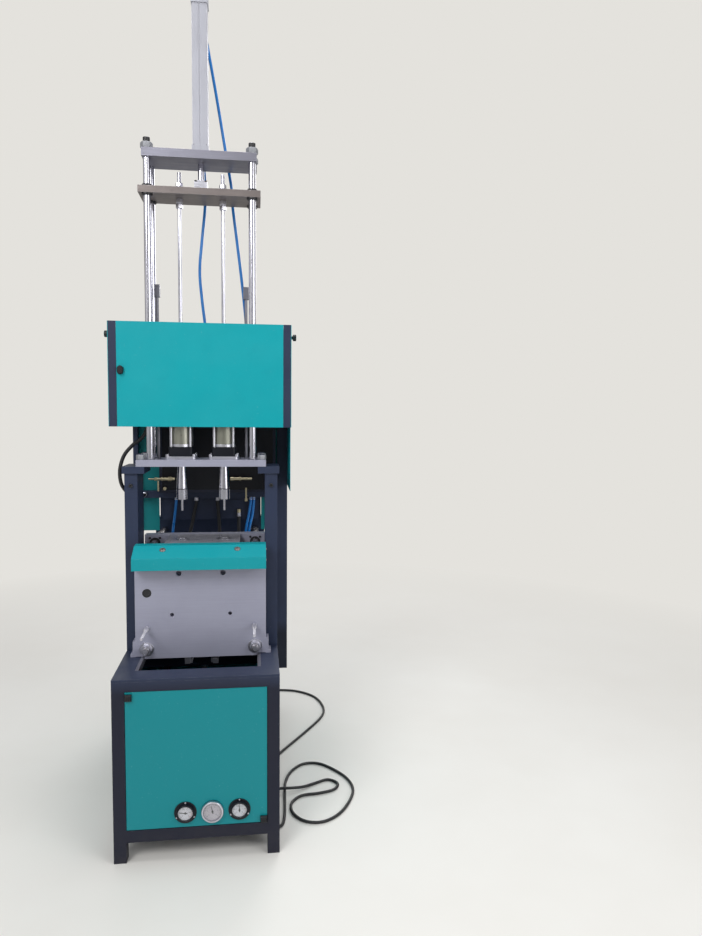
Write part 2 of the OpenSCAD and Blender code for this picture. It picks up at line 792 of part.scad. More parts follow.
module platen_cover() {
  reach = front_platen_y - cover_reach;
  back = front_platen_y + platen_t;
  bend = front_platen_y;
  top = platen_top + cover_t;
  fold = top - cover_fall;
  lip = fold - cover_lip;
  outer = [[back, top], [bend, top], [reach, fold], [reach, lip]];
  color(teal) placed() {
    translate([-platen_half, 0, 0]) rotate([90, 0, 90]) linear_extrude(platen_w)
      polygon(concat(outer, [[reach + cover_t, lip],
        [reach + cover_t, fold - cover_t / 2], [bend, platen_top], [back, platen_top]]));
    both_sides() translate([platen_half - cover_t, 0, 0]) rotate([90, 0, 90])
      linear_extrude(cover_t) polygon([[bend, platen_top], [reach + cover_t / 2, fold - 1],
        [reach + cover_t / 2, lip], [bend, lip]]);
  }
}

module tie_bars() {
  inner = [front_platen_y + platen_t, crosshead_y];
  out = washer_t + nut_h + stud_out;
  color(bright_steel) placed() for (x = [-tie_x, tie_x], z = tie_heights) {
    bar_y(tie_d / 2, inner, x, z);
    bar_y(stud_r, [front_platen_y - out, inner[0] + eps], x, z);
    bar_y(stud_r, [inner[1] - eps, crosshead_end + out], x, z);
  }
}

module hex_y(af, y, x, z) {
  translate([x, y[0], z]) rotate([-90, 0, 0])
    cylinder(r = hex_r(af), h = y[1] - y[0], $fn = 6);
}

module hex_z(af, x, y, z) {
  translate([x, y, z[0]]) cylinder(r = hex_r(af), h = z[1] - z[0], $fn = 6);
}

module tie_bar_nuts() {
  front = front_platen_y;
  color(bright_steel) placed() difference() {
    for (x = [-tie_x, tie_x], z = tie_heights) {
      bar_y(washer_r, [front - washer_t, front], x, z);
      hex_y(nut_af, [front - washer_t - nut_h, front - washer_t], x, z);
      bar_y(washer_r, [crosshead_end, crosshead_end + washer_t], x, z);
      hex_y(nut_af, [crosshead_end + washer_t, crosshead_end + washer_t + nut_h], x, z);
    }
    tie_holes(stud_r, [front - 60, crosshead_end + 60]);
  }
}

module stop_bolts() {
  color(bright_steel) placed() for (x = [-1, 1]) {
    bar_y(stop_bolt_d / 2, [front_platen_y - stop_bolt_l, front_platen_y + 28],
      x * stop_bolt_x, stop_bolt_z);
    hex_y(17, [front_platen_y - 9, front_platen_y], x * stop_bolt_x, stop_bolt_z);
  }
}

// Bottle-shaped cavities, open at the mould's top through the neck.
module cavities() {
  base = platen_top - neck_h - bottle_h;
  shoulder = 60;
  for (x = [-cavity_x, cavity_x]) translate([x, axis_y, 0]) rotate_extrude()
    polygon([[0, base + 6], [bottle_r * 0.5, base + 1], [bottle_r * 0.8, base],
      [bottle_r, base + 9], [bottle_r, base + 70], [bottle_r - 2, base + 74],
      [bottle_r - 2, base + 118], [bottle_r, base + 122],
      [bottle_r, platen_top - neck_h - shoulder],
      [bottle_r * 0.86, platen_top - neck_h - shoulder * 0.55],
      [neck_r + 4, platen_top - neck_h - 12], [neck_r, platen_top - neck_h],
      [neck_r, platen_top + eps], [0, platen_top + eps]]);
}

module neck_rings() {
  for (x = [-cavity_x, cavity_x]) translate([x, axis_y, 0]) difference() {
    bar_z(ring_r, 0, 0, [platen_top - 1.5, platen_top + eps]);
    bar_z(ring_r - 9, 0, 0, [platen_top - 3, platen_top + 2 * eps]);
  }
}

module mould_half(y) {
  color(dull_steel) placed() difference() {
    span([-mould_w / 2, mould_w / 2], y, [mould_z, platen_top]);
    cavities();
    neck_rings();
  }
}

module front_mould() {
  mould_half([front_mould_y, axis_y - parting_gap]);
}
module rear_mould() {
  mould_half([axis_y + parting_gap, rear_mould_end]);
}

module rear_platen() {
  y = [rear_mould_end, rear_platen_end];
  bolt_at = 20;
  color(ground_steel) placed() difference() {
    union() {
      platen_blank(y);
      tongue(y);
    }
    tie_holes(bush_r, y);
    bar_y(clamp_rod_d / 2, [y[1] - 30, y[1] + eps], 0, clamp_z);
    for (x = [-tie_x, tie_x], z = tie_heights, a = [45, 135, 225, 315])
      bar_y(3.5, [y[0] - eps, y[0] + 12], x + 1.45 * bolt_at * cos(a),
        z + 1.45 * bolt_at * sin(a));
  }
}

module rear_bushes() {
  color(black) placed() difference() {
    for (x = [-tie_x, tie_x], z = tie_heights)
      bar_y(bush_r, [rear_mould_end - 3, rear_platen_end + 3], x, z);
    tie_holes(tie_d / 2 + run_gap, [rear_mould_end - 5, rear_platen_end + 5]);
  }
}

module crosshead() {
  y = [crosshead_y, crosshead_end];
  color(dark_blue) placed() difference() {
    union() {
      platen_blank(y);
      span([-platen_half, platen_half], y, [platen_top - eps, platen_top + crosshead_rise]);
    }
    tie_holes(stud_r + stud_gap, y);
    bar_y(clamp_rod_d / 2 + run_gap, [y[0] - eps, y[1] + eps], 0, clamp_z);
  }
}

clamp_barrel_l = 2 * open_stroke + clamp_piston_t + 20;
clamp_cap_t = 35;
clamp_flange = clamp_bore + 2 * clamp_wall + 17;

module clamp_cylinder() {
  y = [crosshead_end, crosshead_end + clamp_barrel_l];
  half = clamp_flange / 2;
  color(dark_blue) placed() difference() {
    union() {
      bar_y(clamp_bore / 2 + clamp_wall, y, 0, clamp_z);
      span([-half, half], [y[0], y[0] + 25], [clamp_z - half, clamp_z + half]);
      span([-half, half], [y[1], y[1] + clamp_cap_t], [clamp_z - half, clamp_z + half]);
      for (x = [-1, 1], z = [-1, 1])
        bar_y(8, [y[0], y[1] + clamp_cap_t + 12], x * (half - 13), clamp_z + z * (half - 13));
    }
    bar_y(clamp_bore / 2, [y[0] - eps, y[1]], 0, clamp_z);
  }
}

module clamp_rod() {
  piston = crosshead_end + 5;
  color(bright_steel) placed() {
    bar_y(clamp_rod_d / 2, [rear_platen_end - 30, piston + eps], 0, clamp_z);
    bar_y(clamp_bore / 2 - run_gap, [piston, piston + clamp_piston_t], 0, clamp_z);
  }
}

// Involute pinion and matching racks.
function involute(rb, a) = rb * [cos(a) + a * PI / 180 * sin(a), sin(a) - a * PI / 180 * cos(a)];
base_r = pitch_r * cos(pressure_angle);
function roll_angle(r) = sqrt(pow(max(r, base_r) / base_r, 2) - 1) * 180 / PI;
pitch_roll = roll_angle(pitch_r);
pitch_turn = pitch_roll - atan(pitch_roll * PI / 180);
half_tooth = 90 / gear_teeth - gear_backlash / 4 / pitch_r * 180 / PI;
root_r = pitch_r - dedendum;
flank_steps = 5;

module tooth() {
  top_roll = roll_angle(pitch_r + addendum);
  turn = -half_tooth - pitch_turn;
  flank = [for (i = [0 : flank_steps])
    let (p = involute(base_r, top_roll * i / flank_steps))
    [p[0] * cos(turn) - p[1] * sin(turn), p[0] * sin(turn) + p[1] * cos(turn)]];
  root = [(root_r - eps) * cos(turn), (root_r - eps) * sin(turn)];
  low = concat([root], flank);
  high = [for (i = [len(low) - 1 : -1 : 0]) [low[i][0], -low[i][1]]];
  polygon(concat(low, high));
}

module sync_pinion() {
  collar_r = shaft_d / 2 + 6;
  color(dull_steel) placed() translate([0, axis_y, 0]) {
    translate([0, 0, gear_z]) linear_extrude(gear_t) {
      circle(r = root_r);
      for (k = [0 : gear_teeth - 1]) rotate([0, 0, 180 + 360 * k / gear_teeth]) tooth();
    }
    bar_z(shaft_d / 2, 0, 0, [member_z - 20, gear_z + eps]);
    bar_z(collar_r, 0, 0, [member_z + member_h + slide_gap, gear_z + eps]);
    bar_z(collar_r, 0, 0, [member_z - 14, member_z - slide_gap]);
  }
}

// The rack on the left of the pinion, and the stem that carries it from its platen.
module rack() {
  tip = addendum;
  slope = tan(pressure_angle);
  half = tooth_pitch / 4 - gear_backlash / 4;
  low = axis_y - rack_reach + 5;
  high = axis_y + rack_reach;
  count = floor((high - axis_y) / tooth_pitch) - 1;
  translate([0, 0, gear_z]) linear_extrude(gear_t) {
    translate([-pitch_r - dedendum - rack_back, low]) square([rack_back, high - low]);
    for (k = [-count - 1 : count]) translate([-pitch_r, axis_y + (k + 0.5) * tooth_pitch])
      polygon([[-dedendum - eps, -half - (dedendum + eps) * slope],
        [tip, -half + tip * slope], [tip, half - tip * slope],
        [-dedendum - eps, half + (dedendum + eps) * slope]]);
  }
  span([-pitch_r - dedendum - rack_back, -pitch_r - dedendum],
    [front_platen_y + 5, front_platen_y + 5 + rack_stem], [gear_z, platen_z - tongue_h]);
}

module front_rack() {
  color(dull_steel) placed() rack();
}
module rear_rack() {
  color(dull_steel) placed() translate([0, axis_y, 0]) rotate([0, 0, 180])
    translate([0, -axis_y, 0]) rack();
}

module posts() {
  cap_y = [axis_y - cap_d / 2, axis_y + cap_d / 2];
  color(dark_blue) placed() both_sides() {
    span([post_out - post_w, post_out], [axis_y - post_d / 2, axis_y + post_d / 2],
      [table_z, cap_z + eps]);
    span([cap_in, post_out + cap_overhang], cap_y, [cap_z, blow_z]);
    for (y = [-corner_dy, corner_dy])
      bar_z(corner_stud_r, corner_x, axis_y + y, [blow_z - eps, blow_top + corner_h + 4]);
  }
}

module blow_plate() {
  y = [axis_y - blow_d / 2, axis_y + blow_d / 2];
  color(ground_steel) placed() difference() {
    span([-blow_w / 2, blow_w / 2], y, [blow_z, blow_top]);
    for (x = [-cavity_x, cavity_x])
      bar_z(plate_hole_r, x, axis_y, [blow_z - eps, blow_top + eps]);
    for (x = [-corner_x, corner_x], dy = [-corner_dy, corner_dy])
      bar_z(corner_stud_r, x, axis_y + dy, [blow_z - eps, blow_top + eps]);
    for (p = rod_places)
      bar_z(rod_stud_r, p[0], p[1], [blow_top - 20, blow_top + eps]);
  }
}

module top_plate() {
  color(ground_steel) placed() difference() {
    span([-top_w / 2, top_w / 2], top_y, [top_z, stretch_cap_z]);
    for (p = rod_places) bar_z(rod_stud_r, p[0], p[1], [top_z - eps, stretch_cap_z + eps]);
    bar_z(piston_rod_d / 2 + 1, 0, axis_y, [top_z - eps, stretch_cap_z + eps]);
  }
}

module guide_rods() {
  color(bright_steel) placed() for (p = rod_places) {
    bar_z(rod_d / 2, p[0], p[1], [blow_top, top_z]);
    bar_z(rod_stud_r, p[0], p[1], [blow_top - 20, top_z]);
    bar_z(rod_stud_r, p[0], p[1], [top_z - eps, stretch_cap_z + rod_nut_h + rod_stud_out]);
  }
}

// The nuts on the guide rods over the top plate and on the cap studs over the blow plate.
module frame_nuts() {
  color(bright_steel) placed() difference() {
    union() {
      for (p = rod_places)
        hex_z(rod_nut_af, p[0], p[1], [stretch_cap_z, stretch_cap_z + rod_nut_h]);
      for (x = [-corner_x, corner_x], dy = [-corner_dy, corner_dy])
        hex_z(corner_af, x, axis_y + dy, [blow_top, blow_top + corner_h]);
    }
    for (p = rod_places)
      bar_z(rod_stud_r, p[0], p[1], [stretch_cap_z - eps, stretch_top]);
    for (x = [-corner_x, corner_x], dy = [-corner_dy, corner_dy])
      bar_z(corner_stud_r, x, axis_y + dy, [blow_z, blow_top + 2 * corner_h]);
  }
}

module stretch_cylinder() {
  cap = stretch_cap_w / 2;
  wall = stretch_barrel_w / 2;
  color(light_grey) placed() translate([0, axis_y, 0]) difference() {
    union() {
      for (z = [stretch_cap_z, stretch_end_z])
        span([-cap, cap], [-cap, cap], [z, z + stretch_cap_h]);
      span([-wall, wall], [-wall, wall], [stretch_barrel_z - eps, stretch_end_z + eps]);
      for (z = [stretch_cap_z, stretch_end_z])
        bar_y(8, [cap - eps, long_tube_path[0][1] - axis_y], 0, z + stretch_cap_h / 2);
    }
    bar_z(stretch_bore / 2, 0, 0, [stretch_barrel_z, stretch_end_z]);
    bar_z(piston_rod_d / 2 + run_gap, 0, 0, [stretch_cap_z - eps, stretch_barrel_z + eps]);
    for (a = [0, 90, 180, 270]) rotate([0, 0, a])
      span([wall - 2, wall + eps], [-2.5, 2.5], [stretch_barrel_z + 3, stretch_end_z - 3]);
  }
}

module stop_posts() {
  half = stop_head_w / 2;
  color(dull_steel) placed() both_sides() {
    bar_z(stop_d / 2, stop_x, axis_y, [blow_top, stop_top - eps]);
    span([stop_x - half, stop_x + half], [axis_y - half, axis_y + half],
      [stop_top - stop_head_h, stop_top]);
  }
}

module blow_barrels() {
  color(bright_steel) placed() for (x = [-cavity_x, cavity_x]) translate([x, axis_y, 0]) {
    difference() {
      bar_z(blow_bore / 2 + blow_wall, 0, 0, [barrel_z, upper_head_z]);
      bar_z(blow_bore / 2, 0, 0, [barrel_z - eps, upper_head_z + eps]);
    }
    for (i = [-1, 1], j = [-1, 1])
      bar_z(tie_rod_r, i * tie_rod_at, j * tie_rod_at, [barrel_z, upper_head_z]);
  }
}

// The port of the left cylinder's upper head takes the outside hose.
module blow_heads() {
  half = blow_head_w / 2;
  color(black) placed() {
    for (x = [-cavity_x, cavity_x], z = [head_z, upper_head_z])
      translate([x, axis_y, 0]) difference() {
        rounded_plate(blow_head_w, blow_head_w, [z, z + blow_head_h], 10);
        bar_z(hollow_r + run_gap, 0, 0, [z - eps, z + blow_head_h + eps]);
      }
    bar_x(9, [left_hose_path[0][0], -cavity_x - half + eps], left_hose_path[0][1],
      upper_head_z + blow_head_h / 2);
  }
}

module blow_flanges() {
  color(ground_steel) placed() for (x = [-cavity_x, cavity_x])
    translate([x, axis_y, 0]) difference() {
      rounded_plate(flange_w, flange_d, [blow_top, head_z], 14);
      bar_z(plate_hole_r, 0, 0, [blow_top - eps, head_z + eps]);
    }
}

// The hollow piston rod with its piston, taper and bell.
module nozzle(x) {
  z0 = blow_z - nozzle_l;
  groove = z0 + bell_h;
  groove_h = 3;
  piston = upper_head_z - piston_top_gap - blow_piston_t;
  color(bright_steel) placed() translate([x, axis_y, 0]) difference() {
    union() {
      bar_z(bell_r, 0, 0, [z0, groove]);
      bar_z(bell_r - 3, 0, 0, [groove - eps, groove + groove_h + eps]);
      translate([0, 0, groove + groove_h])
        cylinder(r1 = bell_r - 0.6, r2 = nozzle_top_r, h = blow_z - 1 - groove - groove_h);
      bar_z(hollow_r, 0, 0, [z0 + bell_h, hollow_top]);
      bar_z(blow_bore / 2 - run_gap, 0, 0, [piston, piston + blow_piston_t]);
    }
    bar_z(stretch_bore_r, 0, 0, [z0 - eps, hollow_top + eps]);
    bar_z(bell_bore_r, 0, 0, [z0 - eps, z0 + 18]);
  }
}

module nozzle_left() {
  nozzle(-cavity_x);
}
module nozzle_right() {
  nozzle(cavity_x);
}

module carriage_plate() {
  bush = rod_d / 2 + carriage_bush_wall;
  color(dull_steel) placed() difference() {
    span([-carriage_w / 2, carriage_w / 2], top_y, [carriage_z, carriage_top]);
    for (p = rod_places) bar_z(bush, p[0], p[1], [carriage_z - eps, carriage_top + eps]);
    for (x = [-cavity_x, cavity_x])
      bar_z(stretch_d / 2, x, axis_y, [carriage_z - eps, carriage_top + eps]);
  }
}

module carriage_bushes() {
  sleeve = rod_d / 2 + carriage_bush_wall;
  rim = sleeve + 3;
  color(black) placed() difference() {
    for (p = rod_places) {
      bar_z(sleeve, p[0], p[1], [carriage_z - 8, carriage_top + 8]);
      bar_z(rim, p[0], p[1], [carriage_z - 5, carriage_z]);
      bar_z(rim, p[0], p[1], [carriage_top, carriage_top + 5]);
    }
    for (p = rod_places)
      bar_z(rod_d / 2 + run_gap, p[0], p[1], [carriage_z - 10, carriage_top + 10]);
  }
}

module stretch_rods() {
  neck = hollow_top - 240;
  color(bright_steel) placed() for (x = [-cavity_x, cavity_x]) {
    bar_z(stretch_d / 2, x, axis_y, [neck, carriage_top + thread_up]);
    bar_z(tip_d / 2, x, axis_y, [tip_z, neck + eps]);
  }
}

module rod_lock_nuts() {
  color(bright_steel) placed() difference() {
    for (x = [-cavity_x, cavity_x]) {
      for (z = [carriage_top, carriage_top + lock_nut_h + lock_gap])
        hex_z(lock_nut_af, x, axis_y, [z, z + lock_nut_h]);
      for (z = [carriage_z, carriage_z - lock_nut_h - lock_gap])
        hex_z(lock_nut_af, x, axis_y, [z - lock_nut_h, z]);
    }
    for (x = [-cavity_x, cavity_x])
      bar_z(stretch_d / 2, x, axis_y, [carriage_z - 60, carriage_top + 60]);
  }
}

module piston_rod() {
  piston = stretch_end_z - 8 - stretch_piston_t;
  color(bright_steel) placed() {
    bar_z(piston_rod_d / 2, 0, axis_y, [carriage_top + 8, piston + eps]);
    bar_z(stretch_bore / 2 - run_gap, 0, axis_y, [piston, piston + stretch_piston_t]);
  }
}

module rod_coupling() {
  half = coupling_w / 2;
  color(ground_steel) placed() difference() {
    union() {
      span([-half, half], [axis_y - half, axis_y + half],
        [carriage_top, carriage_top + coupling_h]);
      hex_z(40, 0, axis_y, [carriage_top + coupling_h, carriage_top + coupling_h + 8]);
    }
    bar_z(piston_rod_d / 2, 0, axis_y, [carriage_top + 8, carriage_top + 60]);
  }
}

// The welded frame that carries the guard: columns, rails, corner angles and crossbeams.
module guard_frame() {
  low_rail = [guard_z, guard_z + guard_rail];
  high_rail = [guard_top - guard_rail, guard_top];
  leg = guard_half - angle_t;
  color(dark_blue) placed() {
    both_sides() {
      span([guard_half - angle_w, guard_half], [guard_front_y, guard_front_y + angle_t],
        [guard_z, guard_top]);
      span([leg, guard_half], [guard_front_y, guard_front_y + 30], [guard_z, guard_top]);
      for (z = [low_rail, high_rail])
        span([guard_half - guard_rail, guard_half],
          [guard_front_y + angle_t - eps, column_y[0] + eps], z);
      for (z = [guard_z + 40, guard_top - 70])
        span([panel_half - 15, guard_half - angle_w + eps],
          [guard_front_y + sheet_t, guard_front_y + sheet_t + angle_t], [z, z + 30]);
    }
    span([column_in, column_out], column_y, [column_z, guard_top]);
    span([half_w, column_in + eps], [column_y[0] + 5, column_y[1] - 5],
      [column_z + 20, rail_top_z - 4]);
    span([left_column_out, -half_w], column_y, [column_z, guard_top]);
    for (z = [low_rail, high_rail])
      span([-guard_half, left_column_out + eps], column_y, z);
    for (z = [[beam_z, beam_z + beam_h], [guard_top - 30, guard_top]])
      span([-half_w - eps, column_in + eps], column_y, z);
  }
}

knob_shaft_r = 5;

module guard_front() {
  y = [guard_front_y, guard_front_y + sheet_t];
  notch = rod_d / 2 + 3;
  color(teal) placed() difference() {
    union() {
      span([-panel_half, panel_half], y, [guard_z, guard_top]);
      for (z = [[guard_z, guard_z + sheet_t], [guard_top - sheet_t, guard_top]])
        span([-panel_half, panel_half], [y[0], y[0] + 20], z);
    }
    bar_y(knob_shaft_r + run_gap, [y[0] - eps, y[1] + eps], knob_x, knob_z);
    for (x = [-rod_x, rod_x], z = [guard_z, guard_top - sheet_t])
      span([x - notch, x + notch], [y[1], y[0] + 20 + eps], [z - eps, z + sheet_t + eps]);
  }
}

module guard_knob() {
  back = guard_front_y + sheet_t + angle_t + slide_gap;
  color(black) placed() {
    translate([knob_x, guard_front_y - slide_gap, knob_z]) rotate([90, 0, 0]) hull() {
      for (z = [-5, 5]) translate([0, z, 0]) cylinder(r = 12, h = 10, $fn = 32);
      for (z = [-5, 5]) translate([0, z, 0]) cylinder(r = 9, h = 15, $fn = 32);
    }
    bar_y(knob_shaft_r, [guard_front_y - eps, back + 3], knob_x, knob_z);
    span([knob_x - 24, knob_x + 6], [back, back + 3], [knob_z - 7, knob_z + 7]);
  }
}

// Side sheets with a hand screw near the front; the right one carries a lower apron.
module guard_sides() {
  x = [guard_half, guard_half + sheet_t];
  y = [guard_front_y, column_back_y];
  screw = [guard_front_y + 60, guard_top - 45];
  color(teal) placed() {
    both_sides() {
      span(x, y, [guard_z, guard_top]);
      bar_x(6, [x[1] - eps, x[1] + 10], screw[0], screw[1]);
      bar_x(12.5, [x[1] + 9, x[1] + 21.5], screw[0], screw[1]);
    }
    span(x, [apron_front_y, column_back_y - 4], [apron_z, guard_z + eps]);
  }
}

// The ribbed rear sheet, cut out below for the hoses and the air manifold.
module rear_sheet() {
  y = [column_back_y, column_back_y + sheet_t];
  ribs = 6;
  color(teal) placed() difference() {
    union() {
      span([left_column_out, guard_half], y, [rear_sheet_z, guard_top]);
      span([-guard_half, left_column_out + eps], y, [guard_z, guard_top]);
      for (i = [0 : ribs - 1])
        let (x = left_column_out + (i + 0.5) * (guard_half - left_column_out) / ribs)
        span([x - 8, x + 8], [y[0], y[1] + 8], [rear_sheet_z + 20, guard_top - 20]);
    }
    span([manifold_x[0] - 2, manifold_x[1] + 2], [y[0] - eps, y[1] + 9],
      [rear_sheet_z - eps, beam_z + beam_h]);
  }
}

manifold_x = [-213, 235];
manifold_h = 106;
valve_front_y = 590;

module valve_cabinet() {
  x = [-200, half_w];
  y = [valve_front_y, column_back_y];
  z = [beam_z + beam_h, guard_z];
  color(dark_blue) placed() difference() {
    span(x, y, z);
    span([x[0] + 12, x[1] - 12], [y[0] - eps, y[0] + 3], [z[0] + 12, z[1] - 12]);
  }
}

module air_manifold() {
  y = [column_back_y + 16, column_back_y + 46];
  z = [beam_z - manifold_h, beam_z];
  color(dark_blue) placed() {
    span(manifold_x, y, z);
    span(manifold_x, [y[0] - 2, y[1]], [z[1] - 22, z[1] - 17]);
    for (c = [-110, 110])
      span([c - 12, c + 12], [column_back_y, y[1] - 10], [z[1] - eps, beam_z + 28]);
  }
}

fitting_rise = 61;
fitting_z = beam_z + beam_h + fitting_rise;
fitting_y = 572;

// A line of fittings along X on a stub from the valve cabinet: hexagons, a union and a spigot.
module fitting_row(x, parts) {
  bar_y(6, [fitting_y, valve_front_y], x, fitting_z);
  for (p = parts)
    if (p[2] > 0) translate([p[0], fitting_y, fitting_z]) rotate([0, 90, 0])
      cylinder(r = hex_r(p[2]), h = p[1] - p[0], $fn = 6);
    else bar_x(-p[2], [p[0] - eps, p[1] + eps], fitting_y, fitting_z);
}

// Each part of a row: its start, its end, then the size of a hexagon or minus a round's radius.
left_row = [[-242, -218, -3.5], [-218, -206, 13], [-206, -190, -5], [-190, -184, 14],
  [-184, -162, -6], [-162, -146, 16], [-146, -134, -6.5]];
right_row = [[105, 116, -8.5], [116, 124, 13], [124, 142, -6.5], [142, 150, 15],
  [150, 195, -5.5]];

module air_fittings() {
  color(brass) placed() {
    fitting_row(-176, left_row);
    fitting_row(146, right_row);
    bar_z(4, -203, fitting_y + 6, [beam_z + beam_h + 8, fitting_z - 8]);
    bar_y(4, [fitting_y + 6, valve_front_y], -203, fitting_z - 40);
    bar_y(7, [fitting_y + 4, valve_front_y], -176, fitting_z - 42);
    bar_y(4, [fitting_y + 6, valve_front_y], 171, fitting_z - 44);
    bar_z(4, 171, fitting_y + 6, [beam_z + 4, fitting_z - 44]);
    bar_z(6, 171, fitting_y + 6, [beam_z - 8, beam_z + 5]);
    bar_y(9, [left_hose_path[len(left_hose_path) - 1][1], column_y[0]], -270, 1280);
    bar_z(9, 137, 703, [1187, 1202]);
    bar_y(5, [703, column_back_y + 16], 137, 1195);
    for (x = [-inlet_x, inlet_x]) difference() {
      union() {
        bar_y(inlet_r + 4, [base_d - 40, base_d + 14], x, inlet_z);
        bar_y(inlet_r + 8, [base_d - panel_inset, base_d + 6], x, inlet_z);
      }
      bar_y(inlet_r, [base_d - 20, base_d + 15], x, inlet_z);
    }
  }
}

module long_air_tube() {
  color(tube_blue) placed() cord(long_tube_path, tube_d, 3);
}
module short_air_tube() {
  color(tube_blue) placed() cord(short_tube_path, tube_d, 3);
}
module left_hose() {
  color(black) placed() cord(left_hose_path, hose_d, 3);
}
module rear_hoses() {
  color(black) placed() {
    for (p = rear_black_paths) cord(p, hose_d, 2);
    for (p = rear_blue_paths) cord(p, tube_d, 2);
  }
}
module power_cable() {
  color(black) placed() cord(cable_path, cable_d, 2);
}

// The gland hangs under the cabinet's floor, with a hexagon on each side of the sheet.
module cable_gland() {
  at = cable_path[0];
  color(black) placed() {
    bar_z(gland_r, at[0], at[1], [at[2], opening_low + 7]);
    for (z = [opening_low - floor_t - 9, opening_low])
      hex_z(2 * gland_r + 7, at[0], at[1], [z, z + (z < opening_low ? 9 : 5)]);
  }
}

module cable_plug() {
  at = cable_path[len(cable_path) - 1];
  color(black) placed() {
    bar_x(plug_r, [at[0] - plug_l, at[0] - 20], at[1], plug_r);
    translate([at[0] - 20, at[1], 0]) hull() {
      bar_x(plug_r, [-1, 0], 0, plug_r);
      bar_x(cable_d / 2 + 2, [19, 20], 0, cable_d / 2 + 2);
    }
  }
}

base_frame();
table_top();
front_panel();
side_panels();
rear_panel();
gauge_cases();
guide_rails();
posts();
blow_plate();
top_plate();
guide_rods();
frame_nuts();
stretch_cylinder();
stop_posts();
blow_barrels();
blow_heads();
blow_flanges();
guard_frame();
guard_front();
guard_sides();
rear_sheet();
valve_cabinet();
air_manifold();
air_fittings();
carriage_plate();
carriage_bushes();
stretch_rods();
rod_lock_nuts();
piston_rod();
rod_coupling();
nozzle_left();
nozzle_right();
front_platen();
platen_cover();
tie_bars();
tie_bar_nuts();
front_mould();
crosshead();
clamp_cylinder();
front_rack();
stop_bolts();
rear_platen();
rear_bushes();
rear_mould();
clamp_rod();
rear_rack();
sync_pinion();
needle_left();
needle_centre();
needle_right();
latch_upper();
latch_lower();
guard_knob();
long_air_tube();
short_air_tube();
left_hose();
rear_hoses();
power_cable();
cable_gland();
cable_plug();
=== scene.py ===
import math
import bmesh
import bpy
from mathutils import Matrix, Vector


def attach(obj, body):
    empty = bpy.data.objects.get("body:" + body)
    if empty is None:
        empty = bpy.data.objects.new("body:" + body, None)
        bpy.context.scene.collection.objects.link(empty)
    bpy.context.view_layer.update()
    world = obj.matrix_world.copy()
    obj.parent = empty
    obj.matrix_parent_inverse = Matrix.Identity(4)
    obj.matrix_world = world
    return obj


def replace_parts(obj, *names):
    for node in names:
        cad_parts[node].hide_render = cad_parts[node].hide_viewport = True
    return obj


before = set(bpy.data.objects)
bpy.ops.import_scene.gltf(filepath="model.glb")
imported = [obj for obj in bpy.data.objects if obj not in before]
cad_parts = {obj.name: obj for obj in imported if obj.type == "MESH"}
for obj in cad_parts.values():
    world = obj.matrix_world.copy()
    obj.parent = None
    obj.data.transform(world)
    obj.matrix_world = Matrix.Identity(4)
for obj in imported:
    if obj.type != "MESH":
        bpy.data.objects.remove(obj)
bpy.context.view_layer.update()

# Stretch blow moulding machine. Places are in millimetres from the cabinet's front face, as
# in the part's source, and at() turns them into the frame's metres.
FRONT = 0.665
scene = bpy.context.scene

# The machine's axis from front to rear, and places that several pieces share.
AXIS = 400
CAVITIES = (-85, 85)
PLATEN_Y, CROSSHEAD_Y, REAR_PLATEN_Y = 240, 895, 510
PLATEN_TOP, CLAMP_Z = 1122, 902.5

# The solved camera: angles in degrees, then its place, and the focal length in pixels.
YAW, PITCH, ROLL = 7.5737, -4.4247, 0.4985
EYE = (215.2, -2570.9, 1645.0)
FOCAL_PIXELS, PICTURE_PIXELS = 715.085, 936
SENSOR = 36


def at(x, y, z):
    """A place of the part's source as a point in the frame."""
    return Vector((x / 1000, y / 1000 - FRONT, z / 1000))


def camera():
    yaw, pitch, roll = (math.radians(a) for a in (YAW, PITCH, ROLL))
    ahead = Vector((math.sin(yaw) * math.cos(pitch), math.cos(yaw) * math.cos(pitch), math.sin(pitch)))
    right = Vector((math.cos(yaw), -math.sin(yaw), 0))
    up = right.cross(ahead)
    level, lean = math.cos(roll), math.sin(roll)
    right, up = right * level + up * lean, up * level - right * lean
    data = bpy.data.cameras.new("camera")
    data.sensor_fit = "VERTICAL"
    data.sensor_height = SENSOR
    data.lens = FOCAL_PIXELS / PICTURE_PIXELS * SENSOR
    data.clip_end = 200
    cam = bpy.data.objects.new("camera", data)
    scene.collection.objects.link(cam)
    turn = Matrix((right, up, -ahead)).transposed().to_4x4()
    cam.matrix_world = Matrix.Translation(at(*EYE)) @ turn
    scene.camera = cam


camera()


